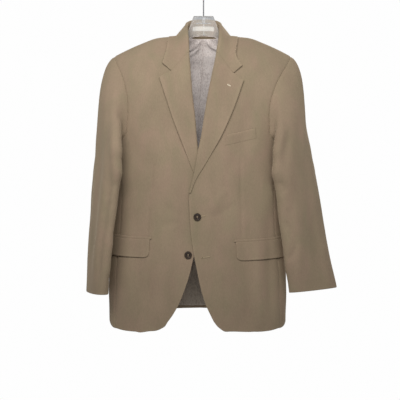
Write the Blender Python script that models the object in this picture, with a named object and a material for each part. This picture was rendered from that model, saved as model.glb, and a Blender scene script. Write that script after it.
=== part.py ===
"""A faux suede two-button sport coat on a plain clear hanger.

Metres, +Z up. The coat faces -Y and +X is the viewer's right, so the wearer's left.
The origin is the inside top of the hook's curl, where a rail carries the hanger.

The coat is one surface. A level section is a superellipse, and its depth closes over the
shoulders in a quarter of an ellipse, up to the shoulder ridge. Each panel is a wall grown
inwards from a grid of points on that surface. What lies on a panel is made from the same
points, moved out along the surface's normals.
"""

import math

import bpy
import numpy as np

# Cloth and seams
CLOTH = 0.0020  # faux suede with its fusing
LAPEL = 0.0016  # facing and canvas of the lapels and the collar
LINING = 0.0010
SEAM = 0.0003  # left open between two sewn pieces
LAY = 0.0005  # left open under a piece that lies on another
INSIDE = -(CLOTH + LAY + LAPEL / 2)  # middle of what is tucked behind a panel's edge

# Body
ROUND = 2.6  # exponent of a level section
CLOSE = 0.170  # height over which the depth closes to the shoulder ridge
SEAM_FRONT = 0.365  # side front seam, as a part of the way from centre front to centre back
SEAM_BACK = 0.620  # side back seam
ARM_CORNER = -0.455  # height where those seams meet the armhole
ARM_BOTTOM = -0.475  # lowest point of the armhole
NECK_POINT = 0.070  # half breadth where the shoulder seam meets the collar
SHOULDER_POINT = 0.238
BACK_NECK = -0.152  # height of the neck seam at centre back
BACK_FIRST = 0.012  # half breadth of the strip along the centre back seam
TOP = math.pi / 2 - 0.0019  # level of the shoulder seam, just short of the ridge
UPPER_POWER = 1.4  # draws the upper rows together towards the shoulder
SEARCH = 401  # samples along a line that is measured

# height, half width, front depth, back depth, lean of the centre line along x
BODY_ROWS = (
    (-0.970, 0.2370, 0.0800, 0.0800, -0.0160),
    (-0.880, 0.2370, 0.0800, 0.0810, -0.0160),
    (-0.800, 0.2360, 0.0795, 0.0810, -0.0160),
    (-0.720, 0.2290, 0.0775, 0.0780, -0.0160),
    (-0.640, 0.2220, 0.0765, 0.0735, -0.0160),
    (-0.550, 0.2220, 0.0770, 0.0710, -0.0160),
    (-0.475, 0.2260, 0.0780, 0.0715, -0.0158),
    (-0.360, 0.2450, 0.0795, 0.0740, -0.0126),
    (-0.220, 0.2620, 0.0800, 0.0780, -0.0022),
    (-0.100, 0.2620, 0.0800, 0.0780, 0.0000),
)

# half breadth, height of the shoulder ridge; inside the neck point it only guides the cloth
RIDGE_ROWS = (
    (-0.020, -0.112),
    (0.000, -0.105),
    (0.020, -0.112),
    (0.040, -0.132),
    (0.055, -0.150),
    (0.070, -0.163),
    (0.085, -0.1655),
    (0.100, -0.1667),
    (0.130, -0.171),
    (0.157, -0.181),
    (0.205, -0.202),
    (0.238, -0.219),
    (0.270, -0.238),
)

# way round from centre front (0) to centre back (1), height of the hem
HEM_ROWS = (
    (0.0, -0.9505),
    (0.30, -0.950),
    (0.41, -0.942),
    (0.50, -0.930),
    (0.62, -0.922),
    (1.0, -0.908),
)
HEM_FRONT = -0.950  # middling heights of the hem
HEM_BACK = -0.910
HEM_POWER = 1.4  # draws the hem's columns together towards the front edge's rounded corner

# half breadth, height
ARMHOLE_FRONT = (
    (0.1935, -0.441),
    (0.1885, -0.410),
    (0.1870, -0.365),
    (0.1900, -0.340),
    (0.1980, -0.310),
    (0.2050, -0.290),
    (0.2170, -0.265),
    (0.2300, -0.240),
    (SHOULDER_POINT, -0.219),
)
ARMHOLE_BACK = (
    (0.2070, -0.440),
    (0.2040, -0.410),
    (0.2055, -0.370),
    (0.2080, -0.340),
    (0.2170, -0.290),
    (0.2240, -0.265),
    (0.2320, -0.240),
    (SHOULDER_POINT, -0.219),
)
NECKLINE_FRONT = ((0.0480, -0.203), (0.0580, -0.185), (0.0655, -0.172), (NECK_POINT, -0.163))
NECKLINE_BACK = (
    (BACK_FIRST, BACK_NECK),
    (0.020, -0.152),
    (0.040, -0.1525),
    (0.055, -0.1560),
    (NECK_POINT, -0.163),
)

# Fronts, by the wearer's side: x, z as seen from the front
FRONT_EDGE = {
    "left": (
        (0.0255, -0.9235),
        (0.0201, -0.9124),
        (0.0068, -0.8830),
        (-0.0065, -0.8405),
        (-0.0172, -0.7900),
        (-0.0250, -0.7500),
        (-0.0332, -0.6930),
        (-0.0370, -0.6350),
        (-0.0378, -0.6000),
    ),
    "right": (
        (-0.0880, -0.9180),
        (-0.0720, -0.8930),
        (-0.0517, -0.8457),
        (-0.0384, -0.8060),
        (-0.0277, -0.7606),
        (-0.0150, -0.7130),
        (-0.0010, -0.6600),
        (0.0045, -0.6300),
        (0.0045, -0.6000),
    ),
}
CREASE = {
    "left": (
        (-0.0378, -0.6000),
        (-0.0220, -0.5350),
        (-0.0109, -0.4740),
        (-0.0043, -0.4450),
        (0.0043, -0.3900),
        (0.0132, -0.3360),
        (0.0240, -0.2810),
        (0.0350, -0.2290),
        (0.0365, -0.2210),
    ),
    "right": (
        (0.0045, -0.6000),
        (-0.0100, -0.5350),
        (-0.0180, -0.4740),
        (-0.0210, -0.4450),
        (-0.0255, -0.3900),
        (-0.0320, -0.3360),
        (-0.0363, -0.2810),
        (-0.0405, -0.2290),
        (-0.0410, -0.2210),
    ),
}
LAPEL_EDGE = {
    "left": (
        (-0.0238, -0.5610),
        (0.0065, -0.5091),
        (0.0457, -0.4398),
        (0.0802, -0.3618),
        (0.1040, -0.2947),
    ),
    "right": (
        (-0.0238, -0.5394),
        (-0.0496, -0.4746),
        (-0.0692, -0.4229),
        (-0.0985, -0.3385),
        (-0.1149, -0.2863),
    ),
}
NOTCH = {"left": (0.0778, -0.2748), "right": (-0.0846, -0.2688)}
COLLAR_TIP = {"left": (0.1008, -0.2547), "right": (-0.1076, -0.2479)}
HEM_CORNER = {
    "left": ((0.0308, -0.9310), (0.0468, -0.9458), (0.0692, -0.9505)),
    "right": ((-0.0932, -0.9250), (-0.1094, -0.9426), (-0.1254, -0.9490)),
}

# height, how far the wearer's left front stands off to lap over the right one
LIFT_ROWS = (
    (-0.970, 0.0036),
    (-0.740, 0.0036),
    (-0.670, 0.0046),
    (-0.610, 0.0074),
    (-0.470, 0.0074),
    (-0.430, 0.0062),
    (-0.380, 0.0034),
    (-0.330, 0.0009),
    (-0.290, 0.0000),
    (-0.100, 0.0000),
)
LIFT_FULL = 0.030  # half breadth where it still stands off fully
LIFT_END = 0.145  # half breadth where it is back on the body

# Centre vent
VENT_CLOSED = -0.700  # height above which both backs are flush
VENT_TOP = -0.722
VENT_OPEN = -0.745  # height below which the underlap has its full breadth
VENT_FOLD = 0.036  # breadth of the underlap
VENT_PAST = 0.0008  # how far its cloth goes past centre back before the strip ends
CENTRE_STRIP = (0.0, 0.004, 0.008)  # half breadths of the columns along centre back
CENTRE_ROWS = (
    *np.linspace(-0.908, VENT_OPEN, 4),
    VENT_TOP,
    *np.linspace(VENT_CLOSED, -0.478, 4),
)
SIDE_ROWS = len(CENTRE_ROWS)  # rows from the hem to the armhole's corner, on every panel

# Sleeves: height, centre x, centre y, half length, half thickness, turn from the x axis in degrees
SLEEVE_ROWS = {
    "left": (
        (-0.845, 0.2905, -0.046, 0.0690, 0.018, 18.0),
        (-0.776, 0.2785, -0.044, 0.0690, 0.020, 26.0),
        (-0.727, 0.2714, -0.042, 0.0690, 0.022, 30.0),
        (-0.620, 0.2555, -0.040, 0.0700, 0.026, 33.0),
        (-0.540, 0.2430, -0.040, 0.0710, 0.031, 38.0),
    ),
    "right": (
        (-0.851, -0.2812, -0.053, 0.0645, 0.024, 111.0),
        (-0.742, -0.2768, -0.051, 0.0700, 0.022, 111.5),
        (-0.675, -0.2703, -0.050, 0.0730, 0.0225, 113.5),
        (-0.600, -0.2630, -0.051, 0.0750, 0.0235, 116.0),
        (-0.540, -0.2565, -0.052, 0.0765, 0.0250, 118.0),
    ),
}
SLEEVE_ROUND = 2.3  # exponent of a sleeve's section
AXIS_STEP = 0.001  # height over which the sleeve's axis is measured
CAP_LEAVE = (0.55, 0.02)  # how strongly the cap leaves the armhole: share of its reach, and more
CAP_ARRIVE = 0.9  # and how strongly it comes in along the sleeve's axis
# part of the way round the armhole, angle on the sleeve's section, share of the way out of
# the armhole that goes along the cloth, share along its normal
CAP_ROWS = (
    (0.00, 0.0, 1.00, -0.05),
    (0.25, 82.0, 0.80, 0.55),
    (0.50, 205.0, 0.60, 0.80),
    (0.75, 285.0, 0.80, 0.50),
    (1.00, 360.0, 1.00, -0.05),
)
CAP_STEPS = (0.0, 0.06, 0.15, 0.28, 0.46, 0.70, 1.0)
ARM_INTERVALS = 11  # sides of the armhole, front and back
UNDERARM_INTERVALS = 6
SHOULDER_SAMPLES = 10
NECK_INTERVALS = 5  # sides of the neck seam, on the back and on each front
BREAK_PART = 0.62  # part of the front edge that lies below the armhole's corner

# Back lining
LINING_GAP = 0.0022
LINING_ROWS = 14
LINING_COLUMNS = 10
LINING_CLOSED = 0.0004  # half breadth at centre back
LINING_SLIT = -0.690  # height below which the lining opens
LINING_VENT = {"left": 0.043, "right": 0.018}  # and beside the vent
# part of the way up, height at centre back
LINING_HEIGHTS = ((0.0, -0.890), (0.15, -0.760), (0.23, -0.722), (0.30, -0.690), (1.0, -0.1605))
# half breadth, height
LINING_EDGE = (
    (0.2205, -0.903),
    (0.2135, -0.720),
    (0.2067, -0.600),
    (0.2070, -0.500),
    (0.1960, -0.440),
    (0.1930, -0.390),
    (0.1940, -0.330),
    (0.1900, -0.245),
)
LINING_TOP = (
    (0.000, -0.1605),
    (0.020, -0.1605),
    (0.040, -0.1625),
    (0.058, -0.1710),
    (0.078, -0.1840),
    (0.110, -0.1880),
    (0.150, -0.2060),
    (0.190, -0.2450),
)

# Pockets: x of the inner end, heights of the flap's top at both ends, its depth
FLAPS = {
    "left": (0.0837, -0.7180, -0.7090, 0.0480),
    "right": (-0.1415, -0.7105, -0.7030, 0.0475),
}
FLAP_LENGTH = 0.150
FLAP_COLUMNS = (0, 0.02, 0.06, 0.13, 0.21, 0.30, 0.39, 0.48, 0.57, 0.66, 0.74, 0.81, 0.87, 0.94, 0.98, 1)
FLAP_CORNER = 0.08  # part of the length that each lower corner's round takes
FLAP_ROUND = 0.010  # and its height
FLAP = 0.0025
JET = 0.0060
JET_MARGIN = 0.003  # how far the jet passes the flap at either end
JET_SAMPLES = 12
WELT = ((0.0541, -0.4649), (0.1377, -0.4454), (0.1350, -0.4195), (0.0610, -0.4367))

BUTTON_RADIUS = 0.010
BUTTONS = {"button_upper": ("left", -0.0166, -0.6515), "button_lower": ("right", -0.0403, -0.7510)}
# radius, height above the cloth
BUTTON_PROFILE = (
    (0.0080, 0.0000),
    (0.0097, 0.0009),
    (BUTTON_RADIUS, 0.0020),
    (0.0092, 0.0031),
    (0.0077, 0.0034),
    (0.0066, 0.0026),
)
BUTTON_SIDES = 20
BUTTON_STAND = 0.0007  # a thread's breadth under the button

# Collar, for the wearer's left: x, y, z along the crease, from centre back
COLLAR_CREASE = (
    (0.000, 0.062, -0.106),
    (0.022, 0.057, -0.108),
    (0.038, 0.043, -0.114),
    (0.0455, 0.020, -0.123),
    (0.0455, -0.010, -0.135),
    (0.0435, -0.036, -0.155),
    (0.0400, -0.057, -0.184),
)
# half breadth and height along the collar's outer edge, on the back and then on the front
COLLAR_EDGE_BACK = ((0.0, -0.166), (0.030, -0.1665), (0.055, -0.170), (0.075, -0.173), (0.087, -0.170))
COLLAR_EDGE_FRONT = {
    "left": ((0.0925, -0.1745), (0.0905, -0.1950), (0.0890, -0.2160), (0.0895, -0.2327)),
    "right": ((0.0925, -0.1745), (0.0950, -0.2000), (0.0970, -0.2160), (0.1000, -0.2300)),
}
COLLAR_FOLD = 0.0045  # radius of the crease round the neck
LABEL = 0.0006  # thickness of the strip, and its gap from the stand
LABEL_ROWS = 2
LABEL_SHARES = (0.30, 0.60)  # its edges, as parts of the way up the stand
COLLAR_CLEAR = 0.002  # how far it goes straight on past the seam
COLLAR_TUCK = 0.005  # how far the stand reaches behind the neck seam
LAPEL_TUCK = 0.008  # how far the lapel's cloth reaches behind the crease
LAPEL_RISE = 0.0018  # the lapel's middle above the front
LAPEL_ROLL = 0.0008  # more than that at the crease
LAPEL_START = 0.03  # part of the crease below which there is no lapel
WAY_STEP = 0.01  # part of the crease over which its tangent is measured
LAPEL_STUB = 0.006  # breadth of the lapel where it starts at the break
FOLD_RADIUS = (LAPEL_RISE + LAPEL_ROLL - INSIDE) / 2
FOLD_TURNS = (36, 72, 108, 144)  # degrees round the fold
TUCK_SAMPLES = 4
GORGE_SAMPLES = 5
TIP_SAMPLES = 3
LAPEL_ROWS = 13
COLLAR_EDGE_RIDGE = 0.0915  # half breadth of the collar's edge over the shoulder ridge
COLLAR_EASE = 0.0016  # the collar's rise over the lapel's, away from the gorge
COLLAR_BULGE = 0.003
COLLAR_TURNS = 0.55  # part of the way round from which it goes over to the lapel's fold
NECK_MIDDLE = -0.005  # y of the axis that the stand faces away from

# Hanger
WIRE = 0.0017  # radius of the hook's wire
CURL = 0.0190  # inside radius of the curl
CURL_TURN = (-38.0, 205.0)  # degrees from which and to which the curl runs
SHANK_TOP = -0.062
HUB_TOP = -0.110
ARM_START = 0.090
ARM_END = 0.212
TIP_LENGTH = 0.003  # each arm ends in a narrower tip
TIP_HALF = 0.004
TIP_THIN = 0.7
HANGER_BEVEL = 0.0012
ARM_HALF = (0.0045, 0.0030)  # half thickness of the hanger at its neck and at its ends
# half breadth, top, bottom
HANGER_ROWS = (
    (0.0000, HUB_TOP, -0.163),
    (0.0265, HUB_TOP, -0.165),
    (0.0405, -0.1480, -0.170),
    (0.0520, -0.1620, -0.176),
    (0.0660, -0.1712, -0.183),
    (0.0780, -0.1716, -0.188),
)
ARM_TALL = (0.0190, 0.0140)  # height of an arm at the neck and at its end
ARM_UNDER = 0.0037  # the arm's top under the ridge


def through(rows, at):
    """Smooth curve through a table whose first column is the parameter.

    Cubic Hermite pieces, with central-difference slopes.
    """
    rows = np.asarray(rows, float)
    knots = rows[:, 0]
    values = rows[:, 1:]
    slopes = np.gradient(values, knots, axis=0)
    at = np.clip(np.asarray(at, float), knots[0], knots[-1])
    k = np.clip(np.searchsorted(knots, at, side="right") - 1, 0, len(knots) - 2)
    span = (knots[k + 1] - knots[k])[..., None]
    s = (at - knots[k])[..., None] / span
    start = (2 * s**3 - 3 * s**2 + 1) * values[k] + (s**3 - 2 * s**2 + s) * span * slopes[k]
    end = (3 * s**2 - 2 * s**3) * values[k + 1] + (s**3 - s**2) * span * slopes[k + 1]
    return start + end


def path(points, at):
    """Points at parts of the way, 0 to 1, along a smooth curve through the given points."""
    points = np.asarray(points, float)
    steps = np.linalg.norm(np.diff(points, axis=0), axis=1)
    way = np.concatenate(([0.0], np.cumsum(steps))) / steps.sum()
    return through(np.column_stack((way, points)), at)


def ease(low, high, at):
    """0 up to low and 1 from high on, with an S-curve between."""
    t = np.clip((np.asarray(at, float) - low) / (high - low), 0.0, 1.0)
    return t * t * (3.0 - 2.0 * t)


def unit(vectors):
    """The vectors at length 1."""
    return vectors / np.linalg.norm(vectors, axis=-1, keepdims=True)


def power(base, exponent):
    """base ** exponent, with base held above 0."""
    return np.maximum(base, 1e-12) ** exponent


def ridge(x):
    """Height of the shoulder ridge at breadth x."""
    return through(RIDGE_ROWS, np.abs(x))[..., 0]


def lean(z):
    """x of the coat's centre line at height z."""
    return through(BODY_ROWS, z)[..., 3]


def hem(q):
    """Height of the hem, q of the way round."""
    return through(HEM_ROWS, np.abs(q))[..., 0]


def level(x, z, back=False):
    """Level of the chart at breadth x and height z: pi/2 on the ridge, pi less on the back."""
    rise = (z - ridge(x)) / CLOSE + 1.0
    front = np.where(rise > 0, np.arcsin(np.clip(rise, 0.0, 1.0)), rise)
    return math.pi - front if back else front


def over(x, at_level):
    """Point of the coat's outer surface at breadth x and a level, from front over to back."""
    is_front = at_level <= math.pi / 2
    t = np.where(is_front, at_level, math.pi - at_level)
    z = ridge(x) - CLOSE + CLOSE * np.where(t > 0, np.sin(np.maximum(t, 0.0)), t)
    width, front, back, shift = np.moveaxis(through(BODY_ROWS, z), -1, 0)
    flat = power(1.0 - np.abs(x / width) ** ROUND, 1.0 / ROUND)
    closed = np.where(t > 0, np.cos(np.maximum(t, 0.0)), 1.0)
    y = np.where(is_front, -front, back) * flat * closed
    return np.stack((x + shift, y, z), axis=-1)


def around(q, z):
    """Point of the coat's outer surface, q from 0 at centre front, by 0.5 at the side, to 1."""
    width, front, back, shift = np.moveaxis(through(BODY_ROWS, z), -1, 0)
    turn = np.pi * np.abs(q)
    x = width * np.sign(q) * power(np.sin(turn), 2.0 / ROUND)
    forward = np.cos(turn)
    y = np.where(forward > 0, -front, back) * power(np.abs(forward), 2.0 / ROUND)
    return np.stack((x + shift, y, z + 0.0 * q), axis=-1)


def normal(chart, a, b):
    """Outward unit normals of a chart, by central differences."""
    step = 1e-4
    along_a = chart(a + step, b) - chart(a - step, b)
    along_b = chart(a, b + step) - chart(a, b - step)
    return unit(np.cross(along_a, along_b))


def lapped(chart):
    """The chart of the wearer's left front, which stands off near the centre to lap over the right."""

    def laid(a, b):
        point = chart(a, b)
        across = point[..., 0] - lean(point[..., 2])
        lift = through(LIFT_ROWS, point[..., 2])[..., 0] * ease(LIFT_END, LIFT_FULL, across)
        return point + normal(chart, a, b) * lift[..., None]

    return laid


def front_chart(side):
    """Chart of one front: a function of breadth and level."""
    return lapped(over) if side == "left" else over


def on_front(side, x, z, rise):
    """Point above a front, at x and z as seen from the front."""
    chart = front_chart(side)
    breadth = x - lean(z)
    at = level(breadth, z)
    return chart(breadth, at) + normal(chart, breadth, at) * np.asarray(rise, float)[..., None]


def way_round(x, z):
    """q of a point at x on the front."""
    breadth = x - lean(z)
    width = through(BODY_ROWS, z)[..., 0]
    return np.sign(breadth) * np.arcsin(np.abs(breadth / width) ** (ROUND / 2)) / np.pi


def coons(bottom, top, left, right):
    """Grid filled in between four edges: rows run from bottom to top, columns from left to right."""
    r = np.linspace(0.0, 1.0, len(left))[:, None, None]
    c = np.linspace(0.0, 1.0, len(bottom))[None, :, None]
    ruled = (1 - r) * bottom[None] + r * top[None] + (1 - c) * left[:, None] + c * right[:, None]
    corners = (1 - r) * ((1 - c) * bottom[0] + c * bottom[-1]) + r * ((1 - c) * top[0] + c * top[-1])
    return ruled - corners


def drawn_in(grid, gap):
    """The grid with its four edges drawn in by a gap."""
    grid = grid.copy()
    grid[0] += gap * unit(grid[1] - grid[0])
    grid[-1] += gap * unit(grid[-2] - grid[-1])
    grid[:, 0] += gap * unit(grid[:, 1] - grid[:, 0])
    grid[:, -1] += gap * unit(grid[:, -2] - grid[:, -1])
    return grid


def grid_normals(grid):
    """Unit normals of a grid of points, by central differences."""
    return unit(np.cross(np.gradient(grid, axis=1), np.gradient(grid, axis=0)))


def add_mesh(name, points, faces):
    """A mesh object with its place in its mesh."""
    mesh = bpy.data.meshes.new(name)
    mesh.from_pydata(np.asarray(points).tolist(), [], faces)
    mesh.shade_smooth()
    mesh.set_sharp_from_angle(angle=math.radians(40))
    thing = bpy.data.objects.new(name, mesh)
    bpy.context.scene.collection.objects.link(thing)
    return thing


def cut(quads, points):
    """Two triangles for each quad, along its shorter diagonal."""
    corners = points[quads]
    first = np.linalg.norm(corners[:, 0] - corners[:, 2], axis=-1)
    second = np.linalg.norm(corners[:, 1] - corners[:, 3], axis=-1)
    quads = np.where((first > second)[:, None], np.roll(quads, 1, axis=1), quads)
    return np.concatenate((quads[:, [0, 1, 2]], quads[:, [0, 2, 3]]))


def add_wall(name, outer, inner, gap=SEAM / 2):
    """Closed cloth wall between two grids, with its edges drawn in by a gap.

    The outer face's cells are cut along their shorter diagonals, and the inner face's likewise.
    """
    outer = drawn_in(outer, gap)
    inner = drawn_in(inner, gap)
    out = np.sum(grid_normals(outer) * (outer - inner), axis=-1)
    if np.median(out) < 0:
        outer = outer[:, ::-1]
        inner = inner[:, ::-1]
    rows, columns = outer.shape[:2]
    count = rows * columns
    points = np.concatenate((outer.reshape(-1, 3), inner.reshape(-1, 3)))
    index = np.arange(count).reshape(rows, columns)
    quads = np.stack((index[:-1, :-1], index[:-1, 1:], index[1:, 1:], index[1:, :-1]), axis=-1)
    faces = cut(quads.reshape(-1, 4), points)
    loop = np.concatenate((index[0, :-1], index[:-1, -1], index[-1, :0:-1], index[:0:-1, 0]))
    ahead = np.roll(loop, -1)
    rim = cut(np.stack((ahead, loop, loop + count, ahead + count), axis=-1), points)
    return add_mesh(name, points, np.concatenate((faces, faces[:, ::-1] + count, rim)).tolist())


def add_sheet(name, chart, a, b, rise, thick):
    """Wall of a given thickness that lies at a given rise over a chart."""
    points = chart(a, b)
    out = normal(chart, a, b)
    return add_wall(name, points + out * (rise + thick), points + out * rise)


def add_tube(name, rings):
    """Solid through rings of points, with flat ends."""
    rows, sides = rings.shape[:2]
    index = np.arange(rows * sides).reshape(rows, sides)
    ahead = np.roll(index, -1, axis=1)
    quads = np.stack((index[:-1], ahead[:-1], ahead[1:], index[1:]), axis=-1).reshape(-1, 4).tolist()
    ends = [index[0, ::-1].tolist(), index[-1].tolist()]
    return add_mesh(name, rings.reshape(-1, 3), quads + ends)


def upper_steps(count):
    """Parts of the way from the armhole's corner to the shoulder, closer together at the top."""
    return 1.0 - (1.0 - np.linspace(0.0, 1.0, count + 1)) ** UPPER_POWER


def armhole(sign, back):
    """Breadths and levels up one side of the armhole, from its corner to the shoulder."""
    seam = SEAM_BACK if back else SEAM_FRONT
    corner = around(seam, ARM_CORNER)
    table = ARMHOLE_BACK if back else ARMHOLE_FRONT
    points = path(((corner[0] - lean(ARM_CORNER), ARM_CORNER), *table), np.linspace(0.0, 1.0, SEARCH))
    levels = level(points[:, 0], points[:, 1])
    levels[-1] = TOP
    wanted = levels[0] + (TOP - levels[0]) * upper_steps(ARM_INTERVALS)
    breadths = np.interp(wanted, levels, points[:, 0])
    return np.column_stack((sign * breadths, np.pi - wanted if back else wanted))


def side_seam(sign, q):
    """Breadths and heights up a side seam, from the hem to the armhole's corner."""
    z = np.linspace(hem(q), ARM_CORNER, SIDE_ROWS)
    points = around(sign * q + 0.0 * z, z)
    return np.column_stack((points[:, 0] - lean(z), z))


def shoulder(sign, back):
    """Breadths and levels of the shoulder seam, from the neck point outwards."""
    breadths = np.linspace(NECK_POINT, SHOULDER_POINT, SHOULDER_SAMPLES)
    return np.column_stack((sign * breadths, np.full(SHOULDER_SAMPLES, math.pi - TOP if back else TOP)))


def charted(points, back=False):
    """Breadth and height turned into breadth and level."""
    return np.column_stack((points[:, 0], level(points[:, 0], points[:, 1], back)))


def from_front(points):
    """x and z as seen from the front turned into breadth and level."""
    points = np.asarray(points, float)
    return charted(np.column_stack((points[:, 0] - lean(points[:, 1]), points[:, 1])))


def neck_back(sign):
    """Breadths and levels of the neck seam on a back, outwards to the neck point."""
    points = charted(np.multiply(NECKLINE_BACK, (sign, 1)), True)
    points[-1, 1] = math.pi - TOP
    return path(points, np.linspace(0.0, 1.0, NECK_INTERVALS + 1))


def neck_front(side):
    """Breadths and levels of the neck seam on a front, from the gorge up to the neck point."""
    sign = 1 if side == "left" else -1
    points = np.vstack((from_front(CREASE[side][-1:]), charted(np.multiply(NECKLINE_FRONT, (sign, 1)))))
    points[-1, 1] = TOP
    return path(points, np.linspace(0.0, 1.0, NECK_INTERVALS + 1))


def front_panel(side):
    """Front: cut-away edge, crease and neck seam inside, shoulder seam on top, armhole outside."""
    sign = 1 if side == "left" else -1
    outer = np.vstack((charted(side_seam(sign, SEAM_FRONT)), armhole(sign, False)[1:]))
    low = np.linspace(0.0, BREAK_PART, SIDE_ROWS)
    high = BREAK_PART + (1.0 - BREAK_PART) * upper_steps(ARM_INTERVALS - NECK_INTERVALS)[1:]
    edge = from_front(path(FRONT_EDGE[side] + CREASE[side][1:], np.concatenate((low, high))))
    inner = np.vstack((edge, neck_front(side)[1:]))
    top = shoulder(sign, False)
    corner = from_front(HEM_CORNER[side])
    breadths = np.linspace(corner[-1, 0], outer[0, 0], 5)[1:]
    heights = hem(way_round(breadths + lean(HEM_FRONT), HEM_FRONT))
    bottom = np.vstack((inner[:1], corner, charted(np.column_stack((breadths, heights)))))
    bottom[-1] = outer[0]
    bottom = path(bottom, np.linspace(0.0, 1.0, len(top)) ** HEM_POWER)
    grid = coons(bottom, top, inner, outer)
    add_sheet("front_" + side, front_chart(side), grid[..., 0], grid[..., 1], -CLOTH, CLOTH)


def back_hem(breadths):
    """Height of the hem at breadths on the back."""
    width = through(BODY_ROWS, HEM_BACK)[0]
    ways = 1.0 - np.arcsin(np.abs(breadths / width) ** (ROUND / 2)) / np.pi
    return hem(ways)


def back_panel(side):
    """Back: centre seam with a vent, back neck and shoulder seam on top, armhole outside."""
    sign = 1 if side == "left" else -1
    outer = np.vstack((charted(side_seam(sign, SEAM_BACK), True), armhole(sign, True)[1:]))
    high = CENTRE_ROWS[-1] + (BACK_NECK - CENTRE_ROWS[-1]) * upper_steps(ARM_INTERVALS)[1:]
    heights = np.concatenate((CENTRE_ROWS, high))
    inner = charted(np.column_stack((np.full(len(heights), sign * BACK_FIRST), heights)), True)
    top = np.vstack((neck_back(sign), shoulder(sign, True)[1:]))
    breadths = np.linspace(inner[0, 0], outer[0, 0], len(top))
    bottom = charted(np.column_stack((breadths, back_hem(breadths))), True)
    bottom[0] = inner[0]
    bottom[-1] = outer[0]
    grid = coons(bottom, top, inner, outer)
    rise = np.zeros(grid.shape[:2])
    centre = centre_columns(side, heights)
    tucked = np.zeros(len(heights))
    if side == "right":
        tucked = -(CLOTH + 2 * SEAM) * ease(VENT_CLOSED, VENT_TOP, heights)
    grid = np.concatenate((centre, grid), axis=1)
    rise = np.concatenate((np.repeat(tucked[:, None], centre.shape[1], axis=1), rise), axis=1)
    a = grid[..., 0]
    b = grid[..., 1]
    points = over(a, b)
    out = normal(over, a, b)
    outer_points = points + out * rise[..., None]
    add_wall("back_" + side, outer_points, outer_points - out * CLOTH)


def centre_columns(side, heights):
    """Three columns at centre back: up to the seam, and below the vent's top out to the underlap."""
    sign = 1 if side == "left" else -1
    closed = np.array(CENTRE_STRIP) * sign
    opened = np.array((VENT_FOLD, VENT_FOLD / 2, -VENT_PAST)) if side == "right" else closed
    share = ease(VENT_TOP, VENT_OPEN, heights)[:, None]
    breadths = closed * (1 - share) + opened * share
    levels = level(breadths, heights[:, None], True)
    return np.stack((breadths, levels), axis=-1)


def seam_rows(sign, q):
    """Ways round and heights up a side seam, from the hem to the armhole's corner."""
    heights = np.linspace(hem(q), ARM_CORNER, SIDE_ROWS)
    return np.column_stack((np.full(SIDE_ROWS, sign * q), heights))


def side_panel(side):
    """Side panel between the two side seams, up to the underarm."""
    sign = 1 if side == "left" else -1
    ways = np.linspace(SEAM_FRONT, SEAM_BACK, UNDERARM_INTERVALS + 1)
    low = np.column_stack((sign * ways, hem(ways)))
    high = np.column_stack((sign * ways, underarm(ways)))
    front = seam_rows(sign, SEAM_FRONT)
    back = seam_rows(sign, SEAM_BACK)
    grid = coons(low, high, front, back)
    add_sheet("side_" + side, around, grid[..., 0], grid[..., 1], -CLOTH, CLOTH)


def underarm(ways):
    """Height of the armhole's bottom between the side seams: a half sine dip."""
    part = (ways - SEAM_FRONT) / (SEAM_BACK - SEAM_FRONT)
    return ARM_CORNER + (ARM_BOTTOM - ARM_CORNER) * np.sin(np.pi * part)


def armhole_loop(sign):
    """Points round an armhole from the shoulder down the front, outward normals and ways out."""
    front = armhole(sign, False)[::-1]
    back = armhole(sign, True)
    ways = np.linspace(SEAM_FRONT, SEAM_BACK, UNDERARM_INTERVALS + 1)[1:-1]
    under_z = underarm(ways)
    points = np.vstack((over(*front.T), around(sign * ways, under_z), over(*back.T)[:-1]))
    under_out = normal(around, sign * ways, under_z)
    out = np.vstack((normal(over, *front.T), under_out, normal(over, *back.T)[:-1]))
    tangent = np.roll(points, -1, axis=0) - np.roll(points, 1, axis=0)
    away = unit(np.cross(out, tangent)) * sign
    return points, out, away


def section(side, z, angles):
    """Ring of a sleeve round its axis: a turned superellipse, square to the axis."""
    rows = SLEEVE_ROWS[side]
    x, y, length, thick, turn = through(rows, z)
    ahead = through(rows, z - AXIS_STEP)[:2] - through(rows, z + AXIS_STEP)[:2]
    axis = unit(np.array((ahead[0], ahead[1], -2 * AXIS_STEP)))
    turn = math.radians(turn)
    along = np.array((math.cos(turn), math.sin(turn), 0.0))
    along = unit(along - axis * np.dot(along, axis))
    outward = np.cross(axis, along)
    outward *= np.sign(outward[0]) * (1 if side == "left" else -1)
    angles = np.radians(angles)
    c = np.sign(np.cos(angles)) * np.abs(np.cos(angles)) ** (2 / SLEEVE_ROUND)
    s = np.sign(np.sin(angles)) * np.abs(np.sin(angles)) ** (2 / SLEEVE_ROUND)
    ring = outward * thick * c[:, None] - along * length * s[:, None]
    return np.array((x, y, z)) + ring, axis


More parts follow.
